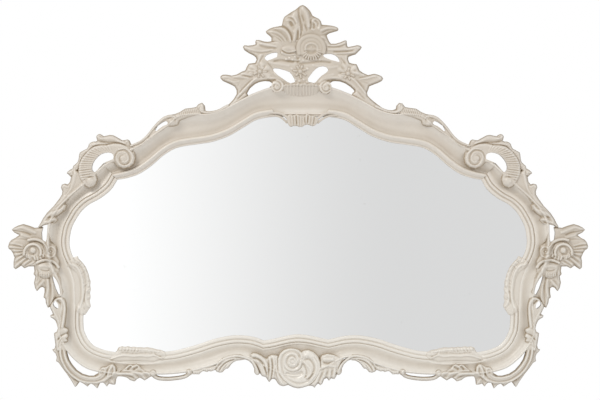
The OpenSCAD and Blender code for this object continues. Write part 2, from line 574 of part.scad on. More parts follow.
// The modules of the nodes
module mirror_glass() {
    color("gainsboro") flat_plate(inner_outline(glass_overlap), board_seat + face_play, glass_t);
}
module backing_board() {
    color("peru") difference() {
        flat_plate(inner_outline(board_overlap), 0, board_t);
        all_board_screws(hole_play);
    }
}
module backing_screws() { color("silver") all_board_screws(); }
module top_rail(side) {
    color("linen") difference() {
        rail_solid(side, top_line);
        joint_dowels(left, top_joint, hole_play);
        joint_dowels(side, notch_joint, hole_play);
        board_screws(side, top_screw_stations, hole_play);
        strap_screws(side, hole_play);
        brace_block(glue_line);
        brace_rail_screws(hole_play);
    }
}
module side_rail(side) {
    color("linen") difference() {
        rail_solid(side, side_line);
        joint_dowels(side, notch_joint, hole_play);
        joint_dowels(side, foot_joint, hole_play);
        board_screws(side, side_screw_stations, hole_play);
    }
}
module bottom_rail(side) {
    color("linen") difference() {
        rail_solid(side, concat(bottom_line, [side == left ? cusp_left : cusp_right]));
        joint_dowels(side, foot_joint, hole_play);
        cusp_dowels(side, hole_play);
        board_screws(side, bottom_screw_stations, hole_play);
    }
}
module apron_rail() {
    color("linen") difference() {
        rail_solid(right, reversed(apron_line));
        for (side = [left, right]) cusp_dowels(side, hole_play);
        board_screws(right, apron_screw_stations, hole_play);
    }
}
module rail_dowels() {
    color("tan") {
        joint_dowels(left, top_joint);
        for (side = [left, right]) {
            joint_dowels(side, notch_joint);
            joint_dowels(side, foot_joint);
            cusp_dowels(side);
        }
    }
}
module crest_openwork() {
    color("linen") difference() {
        crest_openwork_form();
        frame_cut();
        crest_screws(hole_play);
    }
}
module crest_plume() {
    color("linen") difference() {
        crest_plume_form();
        crest_openwork_form(glue_line);
        crest_screws(hole_play);
    }
}
module crest_flower() {
    color("antiquewhite") difference() {
        crest_flower_form();
        crest_openwork_form(glue_line);
        crest_plume_form(glue_line);
    }
}
module crest_bud() {
    color("antiquewhite") difference() {
        crest_bud_form();
        crest_openwork_form(glue_line);
        crest_plume_form(glue_line);
        crest_flower_form(glue_line);
    }
}
module crest_rosette(side, w, z) {
    color("antiquewhite") difference() {
        rosette_form(side, w, z, 13);
        crest_openwork_form(glue_line);
    }
}
module crest_rosette_centre() {
    color("antiquewhite") difference() {
        rosette_form(right, 1, 262, 14);
        crest_openwork_form(glue_line);
    }
}
module crest_panel() {
    color("antiquewhite") difference() {
        crest_panel_form();
        frame_cut();
        crest_openwork_form(glue_line);
    }
}
module sight_shell() {
    color("antiquewhite") difference() {
        sight_shell_form();
        frame_cut();
        crest_panel_form(glue_line);
    }
}
module corner_scroll(side) {
    color("antiquewhite") difference() {
        corner_scroll_form(side);
        frame_cut();
    }
}
module shoulder_scroll(side) {
    color("linen") difference() {
        shoulder_scroll_form(side);
        frame_cut();
        crest_openwork_form(glue_line);
    }
}
module scroll_comb(side) {
    color("linen") difference() {
        scroll_comb_form(side);
        frame_cut();
        corner_scroll_form(side, glue_line);
        shoulder_scroll_form(side, glue_line);
    }
}
module edge_leaf(side) {
    color("linen") difference() {
        edge_leaf_form(side);
        frame_cut();
        corner_scroll_form(side, glue_line);
        scroll_comb_form(side, glue_line);
    }
}
module side_spray(side) {
    color("linen") difference() {
        side_spray_form(side);
        frame_cut();
        edge_leaf_form(side, glue_line);
    }
}
module flower_upper(side) {
    color("antiquewhite") difference() {
        side_flower_form(side, 556, -115, 21);
        frame_cut();
        side_spray_form(side, glue_line);
    }
}
module flower_lower(side) {
    color("antiquewhite") difference() {
        side_flower_form(side, 532, -158, 18);
        frame_cut();
        side_spray_form(side, glue_line);
        side_flower_form(side, 556, -115, 21, glue_line);
    }
}
module hook_scroll(side) {
    color("linen") difference() {
        hook_scroll_form(side);
        frame_cut();
        side_spray_form(side, glue_line);
    }
}
module sight_ruffle(side) {
    color("antiquewhite") difference() {
        sight_ruffle_form(side);
        frame_cut();
    }
}
module foot_scroll(side) {
    color("linen") difference() {
        foot_scroll_form(side);
        frame_cut();
        hook_scroll_form(side, glue_line);
    }
}
module foot_sprig(side) {
    color("linen") difference() {
        foot_sprig_form(side);
        frame_cut();
        foot_scroll_form(side, glue_line);
    }
}
module foot_ruffle(side) {
    color("antiquewhite") difference() {
        foot_ruffle_form(side);
        frame_cut();
    }
}
module loop_scroll(side) {
    color("linen") difference() {
        loop_scroll_form(side);
        frame_cut();
        foot_sprig_form(side, glue_line);
    }
}
module arch_comb(side) {
    color("linen") difference() {
        arch_comb_form(side);
        frame_cut();
        loop_scroll_form(side, glue_line);
    }
}
module apron_cuts() {
    frame_cut();
    for (side = [left, right]) arch_comb_form(side, glue_line);
}
module apron_leaf_left() {
    color("linen") difference() {
        apron_leaf_left_form();
        apron_cuts();
    }
}
module apron_leaf_right() {
    color("linen") difference() {
        apron_leaf_right_form();
        apron_cuts();
    }
}
module apron_cartouche() {
    color("antiquewhite") difference() {
        apron_cartouche_form();
        apron_cuts();
        apron_leaf_left_form(glue_line);
        apron_leaf_right_form(glue_line);
    }
}
module hanger_strap(side) { color("silver") strap(side); }
module hanger_ring(side) { color("silver") ring(side); }
module hanger_screws() { color("silver") for (side = [left, right]) strap_screws(side); }
module wall_bumpers() {
    color("dimgray") for (side = [left, right]) {
        s = bottom_line[3];
        c = across(side, s, width_at(side, s) - bumper_d / 2 - 2);
        translate([c[0], bumper_h, c[1]]) rotate([90, 0, 0])
            cylinder(d = bumper_d, h = bumper_h, $fn = 48);
    }
}
module crest_brace() {
    color("tan") difference() {
        brace_block();
        crest_screws(hole_play);
        brace_rail_screws(hole_play);
    }
}
module brace_screws() {
    color("silver") {
        crest_screws();
        brace_rail_screws();
    }
}

mirror_glass();
backing_board();
backing_screws();
top_rail(left);  // top_rail_left
top_rail(right);  // top_rail_right
side_rail(left);  // side_rail_left
side_rail(right);  // side_rail_right
bottom_rail(left);  // bottom_rail_left
bottom_rail(right);  // bottom_rail_right
apron_rail();
rail_dowels();
crest_openwork();
crest_plume();
crest_flower();
crest_bud();
crest_rosette(left, 87, 261);  // crest_rosette_left
crest_rosette_centre();
crest_rosette(right, 96, 259);  // crest_rosette_right
crest_panel();
sight_shell();
corner_scroll(left);  // corner_scroll_left
corner_scroll(right);  // corner_scroll_right
scroll_comb(left);  // scroll_comb_left
scroll_comb(right);  // scroll_comb_right
shoulder_scroll(left);  // shoulder_scroll_left
shoulder_scroll(right);  // shoulder_scroll_right
edge_leaf(left);  // edge_leaf_left
edge_leaf(right);  // edge_leaf_right
side_spray(left);  // side_spray_left
side_spray(right);  // side_spray_right
flower_upper(left);  // flower_upper_left
flower_upper(right);  // flower_upper_right
flower_lower(left);  // flower_lower_left
flower_lower(right);  // flower_lower_right
hook_scroll(left);  // hook_scroll_left
hook_scroll(right);  // hook_scroll_right
sight_ruffle(left);  // sight_ruffle_left
sight_ruffle(right);  // sight_ruffle_right
foot_scroll(left);  // foot_scroll_left
foot_scroll(right);  // foot_scroll_right
foot_sprig(left);  // foot_sprig_left
foot_sprig(right);  // foot_sprig_right
foot_ruffle(left);  // foot_ruffle_left
foot_ruffle(right);  // foot_ruffle_right
loop_scroll(left);  // loop_scroll_left
loop_scroll(right);  // loop_scroll_right
arch_comb(left);  // arch_comb_left
arch_comb(right);  // arch_comb_right
apron_leaf_left();
apron_leaf_right();
apron_cartouche();
hanger_strap(left);  // hanger_strap_left
hanger_strap(right);  // hanger_strap_right
hanger_ring(left);  // hanger_ring_left
hanger_ring(right);  // hanger_ring_right
hanger_screws();
wall_bumpers();
crest_brace();
brace_screws();
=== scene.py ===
import math

import bpy
import numpy as np
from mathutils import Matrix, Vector
from mathutils.bvhtree import BVHTree


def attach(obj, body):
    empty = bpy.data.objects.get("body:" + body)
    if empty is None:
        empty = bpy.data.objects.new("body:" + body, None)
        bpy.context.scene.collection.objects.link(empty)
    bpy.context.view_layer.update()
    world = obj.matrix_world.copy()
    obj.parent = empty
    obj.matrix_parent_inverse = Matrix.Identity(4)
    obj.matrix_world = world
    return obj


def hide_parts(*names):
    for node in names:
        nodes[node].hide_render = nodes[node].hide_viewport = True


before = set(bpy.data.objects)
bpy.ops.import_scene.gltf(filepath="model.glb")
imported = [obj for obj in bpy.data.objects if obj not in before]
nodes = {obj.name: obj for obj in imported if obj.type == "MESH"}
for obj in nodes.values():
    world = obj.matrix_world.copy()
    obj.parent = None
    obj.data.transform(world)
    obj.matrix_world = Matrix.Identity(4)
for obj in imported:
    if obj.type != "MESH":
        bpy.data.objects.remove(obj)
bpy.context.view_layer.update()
bpy.ops.object.select_all(action="DESELECT")


# Mirror glass
# One plate of silvered float glass, cut to the inner outline of the frame. It lies in the
# rebate behind the sight lip, so its cut edges never show from the front.
class Shade:
    """A shader value that ordinary arithmetic works on."""

    tree = None

    def __init__(self, socket):
        self.socket = socket

    @classmethod
    def node(cls, kind, inputs=None, out=0, **settings):
        made = cls.tree.nodes.new(kind)
        for name, value in settings.items():
            setattr(made, name, value)
        for name, value in (inputs or {}).items():
            if isinstance(value, Shade):
                cls.tree.links.new(value.socket, made.inputs[name])
            else:
                made.inputs[name].default_value = value
        return cls(made.outputs[out])

    def math(self, operation, *others, clamp=False):
        inputs = {0: self}
        for i, other in enumerate(others):
            inputs[i + 1] = other
        return Shade.node("ShaderNodeMath", inputs, operation=operation, use_clamp=clamp)

    def __add__(self, other):
        return self.math("ADD", other)

    def __sub__(self, other):
        return self.math("SUBTRACT", other)

    def __mul__(self, other):
        return self.math("MULTIPLY", other)

    def __rsub__(self, other):
        return (self * -1.0) + other

    def clamped(self):
        return self.math("ADD", 0.0, clamp=True)

    def between(self, low, high):
        """0 at low, 1 at high, smooth in between."""
        return Shade.node("ShaderNodeMapRange", {0: self, 1: low, 2: high, 3: 0.0, 4: 1.0},
                          interpolation_type="SMOOTHSTEP", clamp=True)

    def mix(self, a, b):
        """Colour a where this is 0 and colour b where it is 1."""
        return Shade.node("ShaderNodeMix", {0: self, 6: a, 7: b}, out=2, data_type="RGBA")


def object_coordinates():
    return Shade.node("ShaderNodeTexCoord", out="Object")


def noise(scale, detail=3.0, roughness=0.55):
    return Shade.node("ShaderNodeTexNoise", {"Vector": object_coordinates(), "Scale": scale,
                                             "Detail": detail, "Roughness": roughness})


def new_material(name):
    material = bpy.data.materials.new(name)
    material.use_nodes = True
    Shade.tree = material.node_tree
    return material, material.node_tree.nodes["Principled BSDF"]


def feed(shader, **inputs):
    for name, value in inputs.items():
        socket = shader.inputs[name.replace("_", " ")]
        if isinstance(value, Shade):
            Shade.tree.links.new(value.socket, socket)
        else:
            socket.default_value = value


def bump(height, distance, strength=1.0):
    return Shade.node("ShaderNodeBump", {"Height": height, "Distance": distance,
                                         "Strength": strength})


def dress(obj, material):
    """Puts the material on. A new piece rides the frame, and a CAD node keeps its body."""
    obj.data.materials.clear()
    obj.data.materials.append(material)
    if obj.name not in nodes:
        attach(obj, "frame")


silver, shader = new_material("silvered_glass")
haze = noise(6.0, 2.0)
edge_age = noise(45.0, 4.0).between(0.70, 0.80)
feed(shader, Metallic=1.0,
     Base_Color=edge_age.mix((0.93, 0.935, 0.935, 1), (0.86, 0.86, 0.85, 1)),
     Roughness=haze * 0.012)
dress(nodes["mirror_glass"], silver)


# Backing board
# A sheet of hardboard, sawn to the outline of its own rebate. Countersunk screws hold it to
# the lips of the rails.
board, shader = new_material("hardboard")
fibres = noise(900.0, 5.0, 0.7)
cloud = noise(9.0, 3.0)
feed(shader, Base_Color=(cloud * 0.5 + fibres * 0.5).between(0.3, 0.7).mix(
    (0.17, 0.095, 0.05, 1), (0.30, 0.18, 0.10, 1)),
    Roughness=fibres * 0.25 + 0.55, Normal=bump(fibres, 0.0004, 0.6))
dress(nodes["backing_board"], board)

zinc, shader = new_material("zinc_plated_steel")
grain = noise(260.0, 4.0, 0.6)
patch = noise(60.0, 2.0)
feed(shader, Metallic=1.0,
     Base_Color=patch.between(0.35, 0.65).mix((0.55, 0.56, 0.57, 1), (0.72, 0.72, 0.70, 1)),
     Roughness=grain * 0.25 + 0.22, Normal=bump(grain, 0.00008, 0.5))
dress(nodes["backing_screws"], zinc)


# Moulded rails
# Seven lengths of lime with a rounded outer shoulder, a deep hollow and a roll or beads at the
# glass. They are shaped by hand, butted at the notches, the lower corners and the cusps, and
# dowelled, and then painted ivory with a brown wash in the hollows. The hollows are also darkened
# with painted shade.
LEAN = 0.018
TOP_LINE = [
    (0, 168, 0, 238), (34, 168, 40, 235), (62, 167, 70, 228), (92, 161, 102, 216),
    (118, 146, 132, 201), (150, 127, 164, 184), (184, 115, 196, 175), (214, 110, 224, 176),
    (242, 106, 255, 172), (264, 100, 280, 152), (287, 86, 305, 134), (311, 65, 335, 112),
    (336, 48, 361, 98), (361, 39, 386, 82), (383, 35, 412, 68)]
SIDE_LINE = [
    (383, 35, 412, 68), (396, 14, 431, 50), (418, -4, 453, 30), (440, -16, 474, 12),
    (456, -30, 496, -8), (467, -46, 515, -32), (476, -64, 526, -55), (480, -82, 528, -78),
    (481, -100, 529, -100), (477, -118, 527, -125), (469, -135, 520, -150),
    (459, -152, 509, -170), (452, -172, 501, -188), (449, -195, 498, -205),
    (448, -220, 497, -226), (449, -245, 499, -248), (449, -265, 501, -270),
    (447, -282, 500, -294), (439, -300, 485, -322)]
BOTTOM_LINE = [
    (439, -300, 485, -322), (427, -313, 466, -343), (410, -321, 441, -361),
    (390, -326, 410, -370), (365, -329, 374, -374), (335, -331, 337, -374),
    (305, -330, 303, -374), (280, -327, 274, -374), (255, -324, 247, -372),
    (230, -318, 220, -368.5), (203, -310, 194, -362), (177, -301, 166, -353),
    (152, -295, 142, -343), (129, -292, 122, -339), (104, -293, 102, -340),
    (84, -297, 88, -346)]
CUSP_LEFT = (69, -303, 72, -356)
CUSP_RIGHT = (67, -301, 70, -356)
APRON_LINE = [
    (-69, -303, -72, -356), (-50, -300, -50, -366), (-25, -294, -26, -376),
    (0, -290, 0, -380), (25, -292, 26, -376), (48, -297, 50, -366), (67, -301, 70, -356)]
MM = 0.001
SHOULDER = 28.0
LIP_BACK = 9.3
RAIL_BACK = 0.1
PANEL_HALF = 55
SIDE_RUFFLE, SIDE_RUFFLE_HALF = -189, 36
FOOT_RUFFLE, FOOT_RUFFLE_HALF = 338, 44
LINES_FADE = 12
# painted shade near the glass, which grows from the foot up the side rails
SIDE_SHADE_FROM, SIDE_SHADE_OVER = -322, 50


def smooth_run(points, steps):
    """A smooth run through the points, with so many steps from one to the next."""
    p = np.array(points, float)
    p = np.vstack([2 * p[0] - p[1], p, 2 * p[-1] - p[-2]])
    run = []
    for i in range(1, len(p) - 2):
        for k in range(steps):
            t = k / steps
            run.append(0.5 * (2 * p[i] + (p[i + 1] - p[i - 1]) * t
                              + (2 * p[i - 1] - 5 * p[i] + 4 * p[i + 1] - p[i + 2]) * t * t
                              + (3 * p[i] - p[i - 1] - 3 * p[i + 1] + p[i + 2]) * t ** 3))
    run.append(p[-2])
    return np.array(run)


def rail_front(width, beaded, bare, full, side_shade):
    """The front of the moulding from the glass outwards, as (distance, height), and how much brown
    wash and painted shade darken it there. The sight lines fade where full is less than 1, and more
    painted shade lies near the glass on the side rails."""
    if bare:
        sight = [(0, 11.5), (0.4, 12.9), (1.8, 13.9), (3.0, 13.1), (3.8, 13.7), (5.4, 15.2),
                 (7.0, 14.6), (8.2, 13.4), (9.2, 12.9)]
        cove = [(11.0, 12.9), (15.5, 12.7)]
    elif beaded:
        sight = [(0, 11.5), (0.5, 13.6), (3.2, 15.0), (6.2, 14.9), (8.2, 13.9), (9.4, 15.2),
                 (11.4, 16.9), (13.6, 16.8), (15.4, 15.6), (16.4, 14.1), (17.4, 15.2),
                 (19.0, 15.2)]
        cove = [(21.0, 14.3), (24.0, 13.2)]
    else:
        sight = [(0, 11.5), (0.4, 13.2), (1.8, 14.4), (3.2, 13.8), (7.0, 16.6), (10.5, 19.4),
                 (12.6, 20.0), (14.8, 17.9), (16.6, 14.2)]
        cove = [(18.4, 13.2), (21.5, 12.7)]
    sight = [sight[0]] + [(d, 13.0 + (h - 13.0) * full) for d, h in sight[1:]]
    deep = 0.58 if beaded else 0.45
    far = [(deep, 12.8), (deep + 0.3 * (0.93 - deep), 14.4), (deep + 0.55 * (0.93 - deep), 18.0),
           (deep + 0.78 * (0.93 - deep), 22.8)]
    cove += [(width * d, h) for d, h in far]
    edge = [(width - 5.2, 26.6), (width - 3.6, 27.9), (width - 1.8, 27.2), (width - 0.5, 23.6),
            (width, 16.0)]
    front = smooth_run(sight + cove + edge, 3)
    # darkening in the cove, partly brown wash and partly painted shade
    wash_and_shade = (0.9 if beaded else 1.4) * np.exp(-((front[:, 0] - (26 if beaded else 22)) / 7) ** 2)
    # painted shade near the glass on the side rails
    wash_and_shade += side_shade * (front[:, 0] < 19)
    return front, wash_and_shade


def rail_back(width):
    """The back of the moulding with the rebates for the board and the glass. It lies just
    under the back of the brace that is let into it."""
    return np.array([(width, 4.0), (width - 0.8, RAIL_BACK), (23.0, RAIL_BACK), (23.0, 5.1),
                     (9.0, 5.1), (9.0, LIP_BACK), (0.0, LIP_BACK)])


def sight_lines(station):
    """1 where the lines at the glass are full, 0 where a ruffle takes their place."""
    x, z = station[:2]
    if z > -20:
        return 1.0
    if z > -290:
        away = abs(z - SIDE_RUFFLE) - SIDE_RUFFLE_HALF
    else:
        away = abs(x - FOOT_RUFFLE) - FOOT_RUFFLE_HALF
    return float(np.clip(away / LINES_FADE, 0, 1))


def ring_points(side, station, beaded):
    """One cross section of a rail, from its station (x, z at the glass, x, z outside)."""
    sight = np.array([side * station[0] + LEAN * station[1], station[1]])
    outer = np.array([side * station[2] + LEAN * station[3], station[3]])
    width = np.linalg.norm(outer - sight)
    along = (outer - sight) / width
    # how much painted shade lies near the glass here: none low on the bottom rail, full up the
    # sides
    side_shade = float(beaded and np.clip((station[1] - SIDE_SHADE_FROM) / SIDE_SHADE_OVER, 0, 1))
    front, wash_and_shade = rail_front(width, beaded, not beaded and station[0] < PANEL_HALF,
                             sight_lines(station), side_shade)
    section = np.vstack([front, rail_back(width)])
    plan = sight + section[:, :1] * along
    ring = np.column_stack([plan[:, 0], -section[:, 1], plan[:, 1]])
    # how hollow each point lies, plus its wash and painted shade
    blur = np.convolve(np.pad(front[:, 1], 5, mode="edge"), np.ones(11) / 11, "valid")
    hollow = np.concatenate([blur - front[:, 1] + wash_and_shade, np.zeros(len(section) - len(front))])
    return ring, hollow


def new_mesh_object(name, points, faces, hollow):
    """A mesh from points in millimetres that keeps how hollow each of them lies, together with the
    wash and painted shade that darken it.
    """
    mesh = bpy.data.meshes.new(name)
    mesh.from_pydata(np.asarray(points) * MM, [], faces)
    mesh.update()
    layer = mesh.attributes.new("cavity", "FLOAT", "POINT")
    layer.data.foreach_set("value", np.asarray(hollow, np.float32))
    obj = bpy.data.objects.new(name, mesh)
    bpy.context.collection.objects.link(obj)
    return obj


def round_edges(obj, angle):
    bpy.ops.object.select_all(action="DESELECT")
    obj.select_set(True)
    bpy.context.view_layer.objects.active = obj
    bpy.ops.object.shade_smooth_by_angle(angle=math.radians(angle))
    obj.select_set(False)


def rail(name, side, line, beaded):
    """One length of moulding, lofted through its stations."""
    run = smooth_run(line, 6)
    rings = [ring_points(side, s, beaded) for s in run]
    n = len(rings[0][0])
    points = np.vstack([r[0] for r in rings])
    hollow = np.concatenate([r[1] for r in rings])
    faces = []
    for i in range(len(rings) - 1):
        for j in range(n):
            k = (j + 1) % n
            quad = (i * n + j, i * n + k, (i + 1) * n + k, (i + 1) * n + j)
            faces.append(quad if side > 0 else quad[::-1])
    first = tuple(range(n))
    last = tuple((len(rings) - 1) * n + j for j in range(n))
    faces.append(first[::-1] if side > 0 else first)
    faces.append(last if side > 0 else last[::-1])
    obj = new_mesh_object("moulded_" + name, points, faces, hollow)
    round_edges(obj, 50)
    dress(obj, lacquer)
    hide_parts(name)
    return obj


lacquer, shader = new_material("ivory_lacquer")
cavity = Shade.node("ShaderNodeAttribute", out="Fac", attribute_name="cavity")
# The brown over the paint is partly a real wash in the hollows and partly painted shade. The cavity
# attribute and the occlusion node darken creases, hollows and the gaps between parts, where shade
# falls.
painted_occlusion = 1.0 - Shade.node("ShaderNodeAmbientOcclusion", {"Distance": 0.010}, out="AO", samples=6)
mottle = noise(38.0, 4.0, 0.6)
speck = noise(420.0, 3.0, 0.6)
brush = noise(150.0, 5.0, 0.65)
wash_and_painted_shade = (cavity * 0.25 + painted_occlusion * 0.5 + (mottle - 0.5) * 0.35 - 0.05).clamped()
facing = Shade.node("ShaderNodeSeparateXYZ",
                    {0: Shade.node("ShaderNodeNewGeometry", out="Normal")}, out="Y")
behind = facing.between(0.45, 0.75)
streaks = (mottle * 0.6 + brush * 0.4).between(0.3, 0.7)
upward = Shade.node("ShaderNodeSeparateXYZ", {0: object_coordinates()}, out="Z")
# The paint is darker and warmer towards the top.
toward_top = upward.between(-0.30, 0.06)
paint = toward_top.mix(streaks.mix((0.820, 0.770, 0.688, 1), (0.850, 0.806, 0.728, 1)),
                 streaks.mix((0.765, 0.700, 0.615, 1), (0.800, 0.745, 0.665, 1)))
# paint darkened towards brown by the wash and by painted shade
washed_and_shaded = wash_and_painted_shade.mix(paint, (0.40, 0.315, 0.215, 1))
primed = brush.between(0.35, 0.65).mix((0.50, 0.40, 0.28, 1), (0.60, 0.50, 0.37, 1))
feed(shader, Base_Color=behind.mix(washed_and_shaded, primed),
     Roughness=(wash_and_painted_shade * 0.25 + mottle * 0.12 + behind * 0.3 + 0.26).clamped(),
     Coat_Weight=behind * -0.2 + 0.2, Coat_Roughness=0.25,
     Normal=bump(brush * 0.6 + speck * 0.4, 0.00025, 0.35))

rails = [
    rail("top_rail_left", -1, TOP_LINE, False),
    rail("top_rail_right", 1, TOP_LINE, False),
    rail("side_rail_left", -1, SIDE_LINE, True),
    rail("side_rail_right", 1, SIDE_LINE, True),
    rail("bottom_rail_left", -1, BOTTOM_LINE + [CUSP_LEFT], True),
    rail("bottom_rail_right", 1, BOTTOM_LINE + [CUSP_RIGHT], True),
    rail("apron_rail", 1, APRON_LINE[::-1], True)]


def surface_tree(objects):
    """All the rails as one surface that the carvings can be seated on."""
    points, faces = [], []
    for obj in objects:
        start = len(points)
        points += [v.co.copy() for v in obj.data.vertices]
        faces += [[start + i for i in p.vertices] for p in obj.data.polygons]
    return BVHTree.FromPolygons(points, faces)


rail_tree = surface_tree(rails)

beech, shader = new_material("beech")
fibre = Shade.node("ShaderNodeTexNoise", {
    "Vector": Shade.node("ShaderNodeMapping", {"Vector": object_coordinates(),
                                               "Scale": (60.0, 60.0, 4.0)}),
    "Scale": 6.0, "Detail": 5.0})
fleck = noise(500.0, 2.0)
feed(shader, Base_Color=(fibre * 0.8 + fleck * 0.2).between(0.35, 0.65).mix(
    (0.50, 0.33, 0.19, 1), (0.66, 0.47, 0.29, 1)),
    Roughness=fleck * 0.2 + 0.5, Normal=bump(fibre, 0.0003, 0.5))
dress(nodes["rail_dowels"], beech)


# Crest openwork
# A pierced ground of leaves, carved from one board of lime and glued to the top rails. The
# plume, flowers, rosettes and panel are separate carvings seated on it.
CARVING_BACK = 5.0
BACK_STEP, BACK_LEVELS = 0.08, 11
SIGHT_TOP = 20.8
PETAL_BASE = 14.0
# darkening over a whole carving, partly wash and partly painted shade
WASH_AND_SHADE = 1.5
LET_IN = 3.0
LEAST_DEPTH = 8.0
THINNEST = 1.0
TURN_OVER = 3.5
FALL, CARRIED, EDGE_BAND = 0.7, 16, 4
HOLLOW_BLURS = ((7, 1.0), (50, 0.3))


def edge_distance(x, z, outline):
    """Signed distance to a closed outline, positive inside."""
    px, pz = outline[:, 0], outline[:, 1]
    qx, qz = np.roll(px, -1), np.roll(pz, -1)
    best = np.full(x.shape, 1e9)
    inside = np.zeros(x.shape, bool)
    for ax, az, bx, bz in zip(px, pz, qx, qz):
        dx, dz = bx - ax, bz - az
        t = np.clip(((x - ax) * dx + (z - az) * dz) / max(dx * dx + dz * dz, 1e-9), 0, 1)
        best = np.minimum(best, (x - ax - t * dx) ** 2 + (z - az - t * dz) ** 2)
        crosses = (az > z) != (bz > z)
        with np.errstate(divide="ignore", invalid="ignore"):
            inside ^= crosses & (x < (bx - ax) * (z - az) / (bz - az) + ax)
    return np.where(inside, 1, -1) * np.sqrt(best)


def soften(field, times=1):
    """Blurs a field a little, so many times."""
    for _ in range(times):
        p = np.pad(field, 1, mode="edge")
        p = 0.25 * p[:-2] + 0.5 * p[1:-1] + 0.25 * p[2:]
        field = 0.25 * p[:, :-2] + 0.5 * p[:, 1:-1] + 0.25 * p[:, 2:]
    return field


def spread(field):
    """Fills the unknown places of a field from the known ones beside them."""
    for _ in range(60):
        known = ~np.isnan(field)
        if known.all():
            break
        weight = soften(known.astype(float))
        near = soften(np.where(known, field, 0.0)) / np.maximum(weight, 1e-9)
        field = np.where(known, field, np.where(weight > 0, near, np.nan))
    return np.where(np.isnan(field), np.nanmin(field), field)


def beyond(floor, pitch):
    """The moulding's surface, carried on past its outer edge and falling away from it."""
    off = np.isnan(floor)
    level = np.where(off, -1e3, floor)
    near_edge = off.copy()
    for step in range(int(CARRIED / pitch)):
        p = np.pad(level, 1, mode="edge")
        around = np.max([p[:-2, 1:-1], p[2:, 1:-1], p[1:-1, :-2], p[1:-1, 2:]], axis=0)
        level = np.maximum(level, around - FALL * pitch)
        if step < EDGE_BAND / pitch:
            q = np.pad(near_edge, 1, mode="edge")
            near_edge = near_edge | q[:-2, 1:-1] | q[2:, 1:-1] | q[1:-1, :-2] | q[1:-1, 2:]
    return np.where(near_edge, level, np.where(off, level, floor))


def closed_shell(inside, *fields):
    """Points, faces and hollows of the body between a front and a back, cut off along the line
    where inside is 0. The fields are x, z, front height, back height and hollow."""
    full = inside > 0
    rows, cols = full.shape
    count = int(full.sum())
    number = np.full(full.shape, -1)
    number[full] = np.arange(count)
    samples = [np.column_stack([f[full] for f in fields])]

    def crossings(first, second):
        """Numbers of the rim points between neighbours on the grid."""
        nonlocal count
        cut = full[first] != full[second]
        m0, m1 = inside[first][cut], inside[second][cut]
        t = np.clip(m0 / (m0 - m1), 0.12, 0.88)
        samples.append(np.column_stack([f[first][cut] + (f[second][cut] - f[first][cut]) * t
                                        for f in fields]))
        ids = np.full(cut.shape, -1)
        ids[cut] = np.arange(count, count + int(cut.sum()))
        count += int(cut.sum())
        return ids

    across = crossings((slice(None), slice(0, cols - 1)), (slice(None), slice(1, cols)))
    upright = crossings((slice(0, rows - 1), slice(None)), (slice(1, rows), slice(None)))

    corners = full[:-1, :-1].astype(int) + full[:-1, 1:] + full[1:, 1:] + full[1:, :-1]
    i, j = np.nonzero(corners == 4)
    faces = np.column_stack([number[i, j], number[i, j + 1], number[i + 1, j + 1],
                             number[i + 1, j]]).tolist()
    rims = []
    for i, j in zip(*np.nonzero((corners > 0) & (corners < 4))):
        cell = [(number[i, j], across[i, j]), (number[i, j + 1], upright[i, j + 1]),
                (number[i + 1, j + 1], across[i + 1, j]), (number[i + 1, j], upright[i, j])]
        if corners[i, j] == 2 and (cell[0][0] >= 0) == (cell[2][0] >= 0):
            for k in range(4):
                if cell[k][0] >= 0:
                    faces.append([cell[k][0], cell[k][1], cell[k - 1][1]])
                    rims.append((cell[k][1], cell[k - 1][1]))
            continue
        face = [v for pair in cell for v in pair if v >= 0]
        faces.append(face)
        edge = {v for pair in cell for v in pair[1:] if v >= 0}
        rims += [(a, b) for a, b in zip(face, face[1:] + face[:1]) if a in edge and b in edge]

    x, z, front, back, hollow = np.vstack(samples).T
    points = np.vstack([np.column_stack([x, -front, z]), np.column_stack([x, -back, z])])
    faces += [[v + count for v in f[::-1]] for f in faces]
    faces += [[b, a, a + count, b + count] for a, b in rims]
    return points, faces, np.concatenate([hollow, np.zeros(count)])


